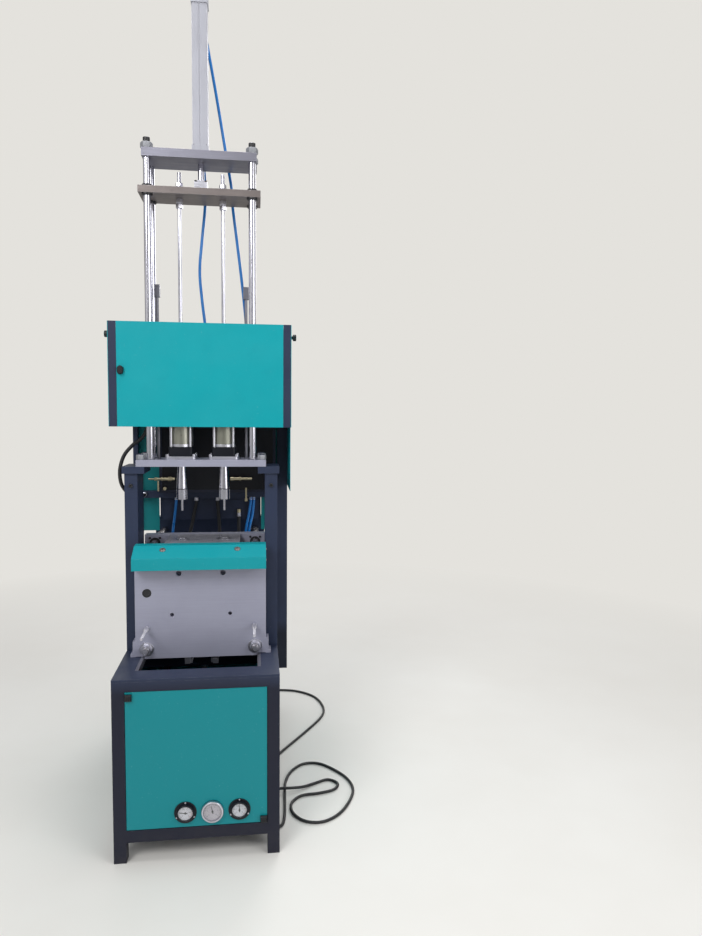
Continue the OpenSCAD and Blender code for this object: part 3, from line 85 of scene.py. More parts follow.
class Nodes:
    """A short way to write a node tree."""

    def __init__(self, owner, output="ShaderNodeOutputMaterial", coords="Object"):
        owner.use_nodes = True
        self.owner = owner
        self.tree = owner.node_tree
        self.tree.nodes.clear()
        self.out = self.add(output)
        self.coords = self.add("ShaderNodeTexCoord").outputs[coords]

    def add(self, kind, inputs=None, **settings):
        node = self.tree.nodes.new(kind)
        for key, value in settings.items():
            setattr(node, key, value)
        for key, value in (inputs or {}).items():
            self.put(node.inputs[key], value)
        return node

    def put(self, socket, value):
        if isinstance(value, bpy.types.NodeSocket):
            self.tree.links.new(value, socket)
        else:
            socket.default_value = value

    def noise(self, scale, detail=3, rough=0.5, stretch=None, distortion=0.0):
        vector = self.coords
        if stretch:
            vector = self.add("ShaderNodeMapping", {"Vector": vector, "Scale": stretch}).outputs["Vector"]
        return self.add("ShaderNodeTexNoise", {"Vector": vector, "Scale": scale, "Detail": detail,
                                               "Roughness": rough, "Distortion": distortion}).outputs["Fac"]

    def ramp(self, value, low, high, low_value=0.0, high_value=1.0):
        return self.add("ShaderNodeMapRange", {"Value": value, "From Min": low, "From Max": high,
                                               "To Min": low_value, "To Max": high_value}).outputs["Result"]

    def math(self, operation, *values):
        return self.add("ShaderNodeMath", dict(enumerate(values)), operation=operation).outputs[0]

    def mix(self, factor, a, b):
        node = self.add("ShaderNodeMix", data_type="RGBA")
        self.put(node.inputs["Factor"], factor)
        self.put(node.inputs[6], a)
        self.put(node.inputs[7], b)
        return node.outputs[2]

    def along(self, axis):
        return self.add("ShaderNodeSeparateXYZ", {"Vector": self.coords}).outputs[axis]

    def edges(self, radius):
        """1 on the sharp edges of a piece and 0 on its faces."""
        bevel = self.add("ShaderNodeBevel", {"Radius": radius}, samples=4).outputs["Normal"]
        true = self.add("ShaderNodeNewGeometry").outputs["Normal"]
        dot = self.add("ShaderNodeVectorMath", {0: bevel, 1: true}, operation="DOT_PRODUCT")
        return self.ramp(dot.outputs["Value"], 0.99, 0.80)

    def shine(self, fine, lines, clouds, low, high):
        """Roughness of fine lines over wide clouds that go from low to high."""
        return self.math("ADD", self.ramp(fine, 0.3, 0.7, *lines), self.ramp(clouds, 0.3, 0.7, low, high))

    def finish(self, color, rough, metallic=0.0, bump=None, bump_depth=0.0, round_edges=0.0, **extra):
        shader = self.add("ShaderNodeBsdfPrincipled")
        self.put(shader.inputs["Base Color"], color)
        self.put(shader.inputs["Roughness"], rough)
        self.put(shader.inputs["Metallic"], metallic)
        normal = None
        if round_edges:
            normal = self.add("ShaderNodeBevel", {"Radius": round_edges}, samples=4).outputs["Normal"]
        if bump is not None:
            node = self.add("ShaderNodeBump", {"Height": bump, "Distance": bump_depth, "Strength": 1.0})
            if normal is not None:
                self.put(node.inputs["Normal"], normal)
            normal = node.outputs["Normal"]
        if normal is not None:
            self.put(shader.inputs["Normal"], normal)
        for key, value in extra.items():
            self.put(shader.inputs[key.replace("_", " ")], value)
        self.put(self.out.inputs["Surface"], shader.outputs["BSDF"])
        return self.owner


def rgb(r, g, b):
    """An sRGB colour, 0 to 255, as linear values."""
    def linear(c):
        c /= 255
        return c / 12.92 if c <= 0.04045 else ((c + 0.055) / 1.055) ** 2.4
    return (linear(r), linear(g), linear(b), 1.0)


BACKGROUND = rgb(228, 226, 221)
DUST = rgb(120, 112, 100)
# Painted shade: the dark colour that paint() lays in its inner band.
PAINTED_INSIDE_SHADE = rgb(17, 19, 28)
# Painted highlight: the light colour that ground() lays on sharp edges.
EDGE_HIGHLIGHT = rgb(228, 228, 236)


def paint(name, color, dark, worn, rough=0.38, wear=0.5, dust=0.0, low=None, fade=(1.35, 0.60),
          inner=None):
    """Sprayed enamel: soft clouds, grime, orange peel, rubbed edges and floor dust.

    low is a deeper tone below the two heights of fade, a painted shade for lower parts that
    get less light, and inner a dark band of painted shade between two depths.
    """
    n = Nodes(bpy.data.materials.new(name))
    base = n.mix(n.ramp(n.noise(2.3, 5, 0.6), 0.3, 0.7, 0.0, 0.55), color, dark)
    grime = n.ramp(n.noise(9, 8, 0.72, distortion=0.6), 0.56, 0.74, 0.0, 0.35)
    base = n.mix(grime, base, dark)
    # Painted shade: below the fade heights the colour turns to the deeper low tone.
    if low:
        base = n.mix(n.ramp(n.along("Z"), *fade), base, low)
    specks = n.ramp(n.noise(170, 2, 0.5), 0.71, 0.76, 0.0, 0.35)
    base = n.mix(specks, base, worn)
    rubbed = n.math("MULTIPLY", n.edges(0.0022), n.ramp(n.noise(34, 4, 0.65), 0.47, 0.62, 0.0, wear))
    base = n.mix(rubbed, base, worn)
    if dust:
        near = n.ramp(n.along("Z"), 0.16, 0.0, 0.0, dust)
        cloud = n.ramp(n.noise(14, 6, 0.7), 0.35, 0.7)
        base = n.mix(n.math("MULTIPLY", near, cloud), base, DUST)
    # Painted shade: a dark band between the two depths of inner.
    if inner:
        depth = n.along("Y")
        shade_band = n.math("MULTIPLY", n.ramp(depth, inner[0] - 0.0005, inner[0]),
                      n.ramp(depth, inner[1] + 0.0005, inner[1]))
        base = n.mix(shade_band, base, PAINTED_INSIDE_SHADE)
    shine = n.ramp(n.noise(6, 4, 0.6), 0.3, 0.7, rough - 0.06, rough + 0.12)
    return n.finish(base, shine, bump=n.noise(420, 2, 0.5), bump_depth=0.00007,
                    round_edges=0.0016, Specular_IOR_Level=0.3, Coat_Weight=0.04, Coat_Roughness=0.25)


def ground(name, color, dark, rough, lines=(6, 260, 260), stain=0.5, metallic=0.85):
    """Ground plate: fine lines one way, handling marks, dull patches and painted highlights on the edges.
    """
    n = Nodes(bpy.data.materials.new(name))
    base = n.mix(n.ramp(n.noise(3.1, 4, 0.6), 0.32, 0.72, 0.0, stain), color, dark)
    marks = n.ramp(n.noise(16, 8, 0.75, distortion=1.2), 0.58, 0.72, 0.0, stain * 0.7)
    base = n.mix(marks, base, dark)
    fine = n.noise(1.0, 3, 0.6, stretch=lines)
    base = n.mix(n.ramp(fine, 0.35, 0.65, 0.0, 0.16), base, dark)
    # Painted highlight: the sharp edges are lightened in patches.
    base = n.mix(n.math("MULTIPLY", n.edges(0.0012), n.noise(30, 3, 0.5)), base, EDGE_HIGHLIGHT)
    shine = n.shine(fine, (-0.06, 0.08), n.noise(11, 5, 0.6), rough - 0.05, rough + 0.1)
    return n.finish(base, shine, metallic=metallic, bump=fine, bump_depth=0.00003, round_edges=0.0009)


def polished(name, color, dark, rough, lines=(160, 160, 3)):
    """Turned or chromed bar with faint draw marks and oil films."""
    n = Nodes(bpy.data.materials.new(name))
    film = n.ramp(n.noise(7, 5, 0.65), 0.42, 0.7, 0.0, 0.45)
    base = n.mix(film, color, dark)
    fine = n.noise(1.0, 2, 0.5, stretch=lines)
    shine = n.shine(fine, (-0.03, 0.05), n.noise(9, 4, 0.6), rough, rough + 0.08)
    return n.finish(base, shine, metallic=1.0, bump=fine, bump_depth=0.000006, round_edges=0.0006)


def plastic(name, color, dark, rough, grain=900, depth=0.00004, coat=0.0):
    """Plastic, rubber, black oxide or print, with a fine grain and faint dust."""
    n = Nodes(bpy.data.materials.new(name))
    base = n.mix(n.ramp(n.noise(20, 5, 0.6), 0.35, 0.7, 0.0, 0.5), color, dark)
    base = n.mix(n.ramp(n.noise(60, 6, 0.7), 0.6, 0.75, 0.0, 0.18), base, rgb(120, 116, 110))
    shine = n.ramp(n.noise(12, 4, 0.6), 0.3, 0.7, rough - 0.05, rough + 0.1)
    return n.finish(base, shine, bump=n.noise(grain, 2, 0.5), bump_depth=depth, round_edges=0.0008,
                    Coat_Weight=coat, Coat_Roughness=0.15)


def glass(name):
    """Thin clear glass with smears."""
    n = Nodes(bpy.data.materials.new(name))
    smear = n.ramp(n.noise(40, 4, 0.6), 0.3, 0.8, 0.02, 0.10)
    tone = n.mix(n.noise(15, 2, 0.5), (0.96, 0.98, 0.98, 1), (0.90, 0.94, 0.94, 1))
    return n.finish(tone, smear, Alpha=0.12, IOR=1.45)


def mould_steel(name):
    """Block steel, dark and blotched, with painted highlights on its edges."""
    n = Nodes(bpy.data.materials.new(name))
    base = n.mix(n.ramp(n.noise(7, 6, 0.7), 0.35, 0.65), rgb(158, 158, 168), rgb(118, 118, 128))
    blotches = n.ramp(n.noise(24, 7, 0.75, distortion=0.8), 0.57, 0.68, 0.0, 0.8)
    base = n.mix(blotches, base, rgb(206, 206, 218))
    # Painted highlight: the sharp edges are lightened in patches.
    base = n.mix(n.math("MULTIPLY", n.edges(0.0014), n.noise(30, 3, 0.5)), base, rgb(215, 215, 224))
    fine = n.noise(1.0, 3, 0.6, stretch=(260, 8, 260))
    return n.finish(base, n.ramp(fine, 0.3, 0.7, 0.26, 0.42), metallic=0.3, bump=fine,
                    bump_depth=0.00004, round_edges=0.0008)


# Painted shade on TEAL: its low tone darkens the teal towards the bottom, below the default fade heights.
TEAL = paint("teal_enamel", rgb(8, 160, 170), rgb(6, 145, 156), rgb(110, 172, 172), rough=0.34,
             wear=0.35, dust=0.12, low=rgb(4, 129, 137))
# Painted shade: a darker copy of the teal enamel for the rear sheet, which stands in shade behind the
# machine.
SHADED_TEAL = paint("teal_painted_shade", rgb(8, 122, 126), rgb(6, 104, 108), rgb(100, 150, 150), rough=0.42, wear=0.35)
# Painted shade on DARK: its low tone darkens everything below the table top, so the fronts are darker than
# the lit top.
DARK = paint("dark_enamel", rgb(44, 54, 79), rgb(35, 42, 62), rgb(92, 94, 108), rough=0.42,
             wear=0.7, dust=0.12, low=rgb(20, 23, 41), fade=(0.69, 0.63))
# Painted shade on CABINET: inner lays a thin dark band between the two depths.
CABINET = paint("cabinet_enamel", rgb(34, 40, 60), rgb(27, 31, 48), rgb(84, 86, 100), rough=0.45,
                wear=0.5, inner=(-0.0735, -0.0705))
PLATE = ground("ground_plate", rgb(162, 163, 181), rgb(142, 142, 159), 0.42, metallic=0.25)
TOP = ground("top_plate_steel", rgb(138, 138, 150), rgb(116, 115, 126), 0.44)
FLANGE = ground("flange_steel", rgb(208, 208, 218), rgb(176, 176, 188), 0.30)
CARRIAGE = ground("carriage_steel", rgb(132, 124, 122), rgb(100, 94, 94), 0.45)
DULL = ground("dull_steel", rgb(132, 132, 142), rgb(102, 102, 110), 0.40, lines=(160, 160, 8))
BARREL = ground("barrel_tube", rgb(152, 152, 142), rgb(122, 122, 112), 0.32, lines=(160, 160, 4))
CHROME = polished("hard_chrome", rgb(214, 214, 226), rgb(172, 172, 186), 0.12)
CHROME_Y = polished("hard_chrome_level", rgb(184, 181, 184), rgb(126, 120, 116), 0.18, lines=(160, 3, 160))
ZINC = polished("zinc_steel", rgb(214, 214, 224), rgb(166, 165, 174), 0.28, lines=(40, 40, 40))
MOULD = mould_steel("mould_steel")
NUT = ground("nut_steel", rgb(158, 160, 166), rgb(126, 128, 134), 0.5, metallic=0.5)
ALLOY = ground("drawn_alloy", rgb(168, 169, 178), rgb(148, 149, 158), 0.40, lines=(220, 220, 3),
               stain=0.35, metallic=0.6)
BLACK = paint("black_enamel", rgb(14, 17, 28), rgb(9, 11, 19), rgb(92, 92, 98), rough=0.36, wear=0.4)
OXIDE = plastic("black_oxide", rgb(40, 40, 44), rgb(24, 24, 27), 0.42)
PLASTIC = plastic("black_plastic", rgb(13, 15, 23), rgb(7, 8, 13), 0.48)
RUBBER = plastic("black_hose", rgb(30, 31, 35), rgb(18, 19, 22), 0.52, grain=500)
BLUE = plastic("blue_tube", rgb(12, 124, 206), rgb(10, 100, 182), 0.30, grain=300, depth=0.00001, coat=0.3)
BRASS = polished("brass", rgb(204, 194, 164), rgb(156, 144, 112), 0.30, lines=(60, 60, 60))
WHITE = plastic("dial_white", rgb(202, 202, 210), rgb(184, 184, 190), 0.50, grain=700, depth=0.00001)
GREY = plastic("dial_grey", rgb(172, 166, 174), rgb(152, 148, 156), 0.50, grain=700, depth=0.00001)
INK = plastic("dial_ink", rgb(24, 25, 28), rgb(12, 12, 14), 0.5)
RED_INK = plastic("dial_red", rgb(176, 40, 34), rgb(140, 30, 26), 0.5)
GLASS = glass("gauge_glass")

NODE_MATERIALS = {
    "base_frame": DARK, "table_top": DARK, "posts": DARK, "guard_frame": DARK, "valve_cabinet": CABINET,
    "air_manifold": DARK, "clamp_cylinder": DARK, "crosshead": DARK, "front_panel": TEAL,
    "side_panels": TEAL, "rear_panel": TEAL, "guard_front": TEAL, "guard_sides": TEAL,
    "rear_sheet": SHADED_TEAL, "platen_cover": TEAL, "guide_rails": DULL, "blow_plate": PLATE,
    "top_plate": TOP, "front_platen": PLATE, "rear_platen": PLATE, "blow_flanges": FLANGE,
    "carriage_plate": CARRIAGE, "rod_coupling": FLANGE, "stop_posts": DULL, "front_mould": MOULD,
    "rear_mould": MOULD, "front_rack": DULL, "rear_rack": DULL, "sync_pinion": DULL,
    "guide_rods": CHROME, "frame_nuts": NUT, "stretch_rods": CHROME, "rod_lock_nuts": ZINC,
    "piston_rod": CHROME, "nozzle_left": CHROME, "nozzle_right": CHROME, "tie_bars": CHROME_Y,
    "tie_bar_nuts": ZINC, "stop_bolts": ZINC, "clamp_rod": CHROME_Y, "blow_barrels": BARREL,
    "stretch_cylinder": ALLOY, "blow_heads": BLACK, "rear_bushes": OXIDE, "carriage_bushes": OXIDE,
    "gauge_cases": BLACK, "latch_upper": PLASTIC, "latch_lower": PLASTIC, "guard_knob": PLASTIC,
    "cable_gland": PLASTIC, "cable_plug": PLASTIC, "needle_left": INK, "needle_centre": INK,
    "needle_right": INK, "air_fittings": BRASS, "long_air_tube": BLUE, "short_air_tube": BLUE,
    "left_hose": RUBBER, "rear_hoses": RUBBER, "power_cable": RUBBER,
}
for node, material in NODE_MATERIALS.items():
    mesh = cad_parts[node].data
    mesh.materials.clear()
    mesh.materials.append(material)


X, Y, Z = Vector((1, 0, 0)), Vector((0, 1, 0)), Vector((0, 0, 1))


def basis(axis):
    """Two directions square to an axis and to each other."""
    side = X if abs(axis.dot(X)) < 0.9 else Y
    u = (side - axis * side.dot(axis)).normalized()
    return u, axis.cross(u)


def turned(bm, profile, origin, axis, seg=24, turn=0.0):
    """Rings of (radius, distance along the axis, sides) in mm. Sides of 6 makes a hexagon."""
    axis = axis.normalized()
    u, v = basis(axis)
    rings = []
    for r, h, *sides in profile:
        middle = origin + axis * (h / 1000)
        if r == 0:
            rings.append([bm.verts.new(middle)])
            continue
        ring = []
        for k in range(seg):
            a = 2 * math.pi * k / seg
            reach = r / 1000
            if sides:
                step = 2 * math.pi / sides[0]
                reach *= math.cos(step / 2) / math.cos((a % step) - step / 2)
            b = a + turn
            ring.append(bm.verts.new(middle + (u * math.cos(b) + v * math.sin(b)) * reach))
        rings.append(ring)
    for low, high in zip(rings, rings[1:]):
        for k in range(seg):
            j = (k + 1) % seg
            if len(low) == 1:
                bm.faces.new((low[0], high[j], high[k]))
            elif len(high) == 1:
                bm.faces.new((low[k], low[j], high[0]))
            else:
                bm.faces.new((low[k], low[j], high[j], high[k]))


def block(bm, low, high):
    """A box between two corners."""
    corners = [bm.verts.new(at(x, y, z)) for x in (low[0], high[0]) for y in (low[1], high[1])
               for z in (low[2], high[2])]
    for face in ((0, 1, 3, 2), (4, 6, 7, 5), (0, 4, 5, 1), (2, 3, 7, 6), (0, 2, 6, 4), (1, 5, 7, 3)):
        bm.faces.new([corners[i] for i in face])


def cap_screw(bm, place, axis, d):
    """Socket head cap screw of thread size d, standing on place."""
    r, edge, socket = 0.75 * d, 0.12 * d, 0.5 * d
    turned(bm, [(0, 0), (r, 0), (r, d - edge), (r - edge, d), (socket, d, 6), (socket, d * 0.45, 6),
                (0, d * 0.4)], place, axis)


def hex_nut(bm, place, axis, af, h, bore, turn=0.3):
    """A nut of af across flats with chamfered corners."""
    corner, edge = af / 2 / math.cos(math.pi / 6), af * 0.06
    turned(bm, [(bore, 0), (af / 2, 0), (corner, edge, 6), (corner, h - edge, 6), (af / 2, h), (bore, h),
                (bore, 0)], place, axis, turn=turn)


def pan_screw(bm, place, axis, d):
    """Cross-recessed pan head."""
    h = 0.6 * d
    turned(bm, [(0, 0), (d, 0), (d, h * 0.35), (d * 0.8, h * 0.8), (d * 0.42, h), (d * 0.3, h * 0.55),
                (0, h * 0.35)], place, axis, seg=20)


def thread(bm, place, axis, r, length, pitch=2.5, point=2.0):
    """A threaded bar end: ridges round the bar and a chamfered point."""
    profile = [(r - 0.2, 0)]
    crest, root = r + 0.25, r - pitch * 0.35
    h = 0.0
    while h < length - point - pitch:
        profile += [(crest, h + pitch * 0.25), (crest, h + pitch * 0.4), (root, h + pitch * 0.8),
                    (root, h + pitch * 0.95)]
        h += pitch
    profile += [(r, length - point), (r - point * 0.8, length + 0.3), (0, length + 0.3)]
    turned(bm, profile, place, axis, seg=28)


def piece(name, bm, body, material, smooth=35):
    """Make the finished piece from its mesh and let it ride on a body."""
    bmesh.ops.recalc_face_normals(bm, faces=bm.faces)
    mesh = bpy.data.meshes.new(name)
    bm.to_mesh(mesh)
    bm.free()
    obj = bpy.data.objects.new(name, mesh)
    scene.collection.objects.link(obj)
    mesh.materials.append(material)
    for face in mesh.polygons:
        face.use_smooth = True
    mesh.set_sharp_from_angle(angle=math.radians(smooth))
    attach(obj, body)
    return obj


LONG_TUBE = [
    (0, 436, 3235), (0, 466, 3235), (8, 494, 3204), (22, 504, 3120), (56, 502, 2930),
    (91, 500, 2717), (116, 500, 2562), (121, 500, 2484), (137, 500, 2353),
    (157, 500, 2185), (174, 500, 2016), (186, 520, 1850), (193, 575, 1710),
    (196, 630, 1630), (196, 630, 1583)]
SHORT_TUBE = [
    (0, 436, 2667), (0, 466, 2667), (5, 493, 2640), (9, 504, 2560), (8, 502, 2480),
    (-5, 500, 2347), (-15, 500, 2224), (-7, 500, 2110), (8, 502, 1980),
    (22, 530, 1830), (34, 590, 1700), (36, 630, 1630), (36, 630, 1583)]
LEFT_HOSE = [
    (-145, 428, 1721), (-172, 428, 1721), (-196, 430, 1696), (-212, 434, 1640),
    (-224, 440, 1580), (-248, 442, 1535), (-284, 442, 1506), (-320, 441, 1462),
    (-337, 440, 1403), (-334, 452, 1345), (-316, 490, 1305), (-290, 550, 1284),
    (-270, 610, 1280), (-270, 645, 1280)]
REAR_BLACK = [
    [(-52, 692, 1262), (-52, 692, 1238), (-62, 699, 1190), (-74, 703, 1130),
     (-84, 703, 1085), (-90, 703, 1040), (-108, 703, 1006), (-150, 703, 994),
     (-200, 703, 992), (-245, 703, 990), (-268, 712, 972), (-282, 726, 930),
     (-283, 730, 860), (-283, 730, 686)],
    [(42, 692, 1262), (42, 692, 1238), (45, 699, 1190), (49, 703, 1130),
     (50, 703, 1060), (55, 703, 1000), (80, 703, 974), (140, 703, 968),
     (200, 703, 968), (245, 703, 966), (268, 710, 950), (282, 722, 910),
     (283, 724, 840), (283, 724, 686)],
    [(137, 703, 1187), (137, 703, 1150), (136, 703, 1080), (138, 703, 1030),
     (155, 703, 1004), (200, 703, 998), (240, 703, 998), (266, 716, 996),
     (282, 738, 975), (283, 748, 920), (283, 748, 840), (283, 748, 686)]]
REAR_BLUE = [
    [(-141, 692, 1262), (-141, 692, 1238), (-147, 699, 1190), (-155, 703, 1130),
     (-160, 703, 1085), (-164, 703, 1050), (-182, 703, 1030), (-220, 703, 1024),
     (-250, 704, 1022), (-272, 718, 1012), (-288, 744, 980), (-290, 756, 920),
     (-290, 756, 830), (-290, 756, 686)],
    [(190, 692, 1262), (190, 692, 1238), (182, 699, 1180), (170, 703, 1120),
     (167, 703, 1070), (174, 703, 1040), (197, 703, 1026), (240, 703, 1024),
     (268, 714, 1022), (287, 745, 1006), (290, 768, 960), (290, 770, 850),
     (290, 770, 686)],
    [(204, 692, 1262), (204, 692, 1238), (198, 699, 1180), (185, 703, 1120),
     (182, 703, 1080), (187, 703, 1062), (204, 703, 1050), (240, 703, 1048),
     (268, 716, 1046), (287, 758, 1032), (290, 788, 980), (290, 790, 860),
     (290, 790, 686)]]
CABLE = [
    (150, 170, 94), (150, 170, 70), (160, 170, 35), (200, 166, 9), (265, 150, 6),
    (312, 165, 6), (328, 240, 6), (335, 400, 6), (342, 500, 6), (372, 592, 6),
    (430, 655, 6), (500, 652, 6), (560, 595, 6), (615, 505, 6), (632, 410, 6),
    (605, 315, 6), (550, 222, 6), (480, 173, 6), (410, 184, 6), (364, 245, 6),
    (360, 322, 6), (405, 378, 6), (480, 390, 6), (548, 412, 6), (570, 462, 6),
    (530, 500, 6), (470, 474, 6), (410, 438, 12), (336, 422, 20), (275, 444, 10),
    (240, 515, 6), (252, 640, 6), (330, 780, 6), (457, 981, 6), (560, 1160, 6),
    (583, 1290, 6), (545, 1440, 6), (440, 1540, 6), (300, 1568, 6), (190, 1568, 6),
    (120, 1568, 6)]
TUBE_D, HOSE_D, CABLE_D = 12, 15, 12


def smooth_path(points, steps):
    """The curve of the part's source through the listed points."""
    p = [at(*q) for q in points]
    path = []
    for i in range(len(p) - 1):
        a, b, c, d = p[max(i - 1, 0)], p[i], p[i + 1], p[min(i + 2, len(p) - 1)]
        for k in range(steps):
            t = k / steps
            path.append(0.5 * (2 * b + (c - a) * t + (2 * a - 5 * b + 4 * c - d) * t * t
                               + (3 * b - a - 3 * c + d) * t ** 3))
    return path + [p[-1]]


def tube(name, points, d, material, slot, steps=6, sides=14, **facts):
    """A cord along listed points; its facts are not used."""
    path = smooth_path(points, steps)
    bm = bmesh.new()
    side = Vector((0.31, 0.17, 0.93))
    rings = []
    for i, p in enumerate(path):
        ahead = (path[min(i + 1, len(path) - 1)] - path[max(i - 1, 0)]).normalized()
        side = (side - ahead * side.dot(ahead)).normalized()
        up = ahead.cross(side)
        rings.append([bm.verts.new(p + (side * math.cos(a) + up * math.sin(a)) * d / 2000)
                      for a in (2 * math.pi * k / sides for k in range(sides))])
    for low, high in zip(rings, rings[1:]):
        for k in range(sides):
            bm.faces.new((low[k], low[(k + 1) % sides], high[(k + 1) % sides], high[k]))
    bm.faces.new(rings[0])
    bm.faces.new(rings[-1])
    obj = piece(name, bm, "base", material, smooth=60)
    return obj


def ferrule(bm, place, axis, d, length=18, lip=2.0):
    """A pressed collar round the end of a hose, with a bead at its mouth."""
    inner, outer = d / 2 - 0.6, d / 2 + lip
    turned(bm, [(inner, 0), (outer, 0), (outer, 4), (outer - 0.8, 5), (outer - 0.8, length - 4),
                (outer, length - 3), (outer, length - 1), (inner, length), (inner, 0)], place, axis)


def cords():
    hose = {"far_end": "object", "stiffness": "stiff", "lay": "hanging"}
    blue = {"d": TUBE_D, "material": BLUE, "slot": "blue_tube", **hose}
    black = {"d": HOSE_D, "material": RUBBER, "slot": "black_hose", **hose}
    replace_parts(tube("long_air_line", LONG_TUBE, **blue), "long_air_tube")
    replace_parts(tube("short_air_line", SHORT_TUBE, **blue), "short_air_tube")
    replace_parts(tube("left_hose_line", LEFT_HOSE, **black), "left_hose")
    for i, path in enumerate(REAR_BLACK):
        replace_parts(tube(f"rear_hose_{i + 1}", path, **black), "rear_hoses")
    for i, path in enumerate(REAR_BLUE):
        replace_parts(tube(f"rear_tube_{i + 1}", path, **blue), "rear_hoses")
    lead = tube("mains_lead", CABLE, CABLE_D, RUBBER, "black_hose", steps=5, far_end="plug",
                stiffness="medium", lay="loose", with_pieces=[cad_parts["cable_plug"]])
    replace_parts(lead, "power_cable")
    strain_relief()
    cord_ends()


def strain_relief():
    """A ribbed sleeve that narrows from the gland down the lead."""
    bm = bmesh.new()
    grip, mouth = CABLE_D / 2 - 0.4, 10.4
    profile = [(grip, 0), (mouth, 0)]
    for k in range(5):
        h, r = 2 + 4.2 * k, mouth - 0.65 * k
        profile += [(r, h), (r, h + 2.6), (r - 1.2, h + 3.0), (r - 1.2, h + 3.8)]
    profile += [(7.0, 23.5), (grip, 24), (grip, 0)]
    turned(bm, profile, at(*CABLE[0]), -Z)
    piece("strain_relief", bm, "base", PLASTIC)


def cord_ends():
    bm = bmesh.new()
    ferrule(bm, at(*LEFT_HOSE[0]), -X, HOSE_D)
    ferrule(bm, at(*LEFT_HOSE[-1]), -Y, HOSE_D)
    for path in REAR_BLACK:
        ferrule(bm, at(*path[0]), -Z, HOSE_D)
        ferrule(bm, at(*path[-1]), Z, HOSE_D)
    for path in REAR_BLUE:
        ferrule(bm, at(*path[0]), -Z, TUBE_D, 14, 0.9)
        ferrule(bm, at(*path[-1]), Z, TUBE_D, 14)
    piece("hose_ferrules", bm, "base", ZINC)
    bm = bmesh.new()
    fitting = [(0, -4), (11, -4, 6), (11, 5, 6), (9, 6), (9, 12), (7.5, 14), (5.4, 14)]
    for path in (LONG_TUBE, SHORT_TUBE):
        turned(bm, fitting, at(*path[0]), Y)
        turned(bm, fitting, at(*path[-1]), Z)
    piece("tube_fittings", bm, "base", BRASS)


cords()


# Each gauge's place along X, the radius of its dial and of its rim.
GAUGES = [(-44, 27, 32), (54, 33, 39.5), (152, 27, 32)]
GAUGE_Z = 179
INK_Y = -3.62
# The radius of the dial that the lines and numbers are drawn for, and of its numbers.
DIAL_R, NUMBERS_R = 29.5, 16.2
DIGIT_SIZE, RIM_SCREWS_R = 0.0068, 0.0363
SCALE_START, SCALE_SWEEP, SCALE_LINES = -135, 270, 50
FIRST_RED_LINE = 41
DIAL_STEPS = (0.4, 1.0, 0.4)


def gauges():
    for i, (x, dial, rim) in enumerate(GAUGES):
        centre = at(x, 0, GAUGE_Z)
        chrome = i == 1
        bm = bmesh.new()
        turned(bm, [(dial - 0.1, -2.9), (dial - 0.1, 10.5), (dial + 0.7, 12.4), (rim - 2.2, 13.2),
                    (rim - 0.3, 12.2), (rim + 0.35, 9.8), (rim + 0.35, 5.0), (rim + 0.35, 1.2)],
               centre, -Y, seg=72)
        piece(f"gauge_bezel_{i + 1}", bm, "base", ZINC if chrome else BLACK,
              smooth=50)
        face = dial - 0.2
        bm = bmesh.new()
        turned(bm, [(0, 3.15), (face, 3.15), (face, 3.5), (0, 3.5)], centre, -Y, seg=64)
        piece(f"gauge_face_{i + 1}", bm, "base", GREY if chrome else WHITE)
        scale_lines(i, x, dial / DIAL_R, red_end=not chrome)
        bm = bmesh.new()
        turned(bm, [(face, 8.6), (face, 9.6), (face - 3, 10.3), (15, 10.9), (0, 11.1)], centre, -Y, seg=64)
        piece(f"gauge_glass_{i + 1}", bm, "base", GLASS, smooth=80)
        for k in range(6):
            number(i, k, x, NUMBERS_R * dial / DIAL_R)
        if not chrome:
            bm = bmesh.new()
            for a in (90, 210, 330):
                way = Vector((math.cos(math.radians(a)), 0, math.sin(math.radians(a))))
                pan_screw(bm, at(x, -0.8, GAUGE_Z) + way * RIM_SCREWS_R, -Y, 3.2)
            piece(f"gauge_screws_{i + 1}", bm, "base", ZINC)


def scale_lines(i, x, scale, red_end):
    """The lines of a dial, with a red end on two of the gauges."""
    ink, red = bmesh.new(), bmesh.new()
    for k in range(SCALE_LINES + 1):
        a = math.radians(SCALE_START + SCALE_SWEEP * k / SCALE_LINES)
        long = k % 10 == 0
        outer = 26.5 * scale
        inner = (20.5 if long else 22.8 if k % 5 == 0 else 24.4) * scale
        half = 0.55 if long else 0.3
        dx, dz = math.sin(a), math.cos(a)
        bm = red if red_end and k >= FIRST_RED_LINE else ink
        bm.faces.new([bm.verts.new(at(x + dx * q + dz * w, INK_Y, GAUGE_Z + dz * q - dx * w))
                      for q, w in ((outer, -half), (outer, half), (inner, half), (inner, -half))])
    piece(f"gauge_marks_{i + 1}", ink, "base", INK)
    if red_end:
        piece(f"gauge_red_marks_{i + 1}", red, "base", RED_INK)
    else:
        red.free()


def number(i, k, x, radius):
    """A plain scale number on a dial."""
    curve = bpy.data.curves.new(f"digits_{i}_{k}", "FONT")
    curve.body = f"{k * DIAL_STEPS[i]:g}"
    curve.size = DIGIT_SIZE
    curve.align_x = "CENTER"
    curve.align_y = "CENTER"
    holder = bpy.data.objects.new(curve.name, curve)
    scene.collection.objects.link(holder)
    bpy.context.view_layer.update()
    mesh = bpy.data.meshes.new_from_object(holder)
    bpy.data.objects.remove(holder)
    bpy.data.curves.remove(curve)
    a = math.radians(SCALE_START + SCALE_SWEEP / 5 * k)
    place = at(x + math.sin(a) * radius, INK_Y, GAUGE_Z + math.cos(a) * radius)
    mesh.transform(Matrix.Translation(place) @ Matrix.Rotation(math.pi / 2, 4, "X"))
    obj = bpy.data.objects.new(f"gauge_number_{i + 1}_{k}", mesh)
    scene.collection.objects.link(obj)
    mesh.materials.clear()
    mesh.materials.append(INK)
    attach(obj, "base")


gauges()


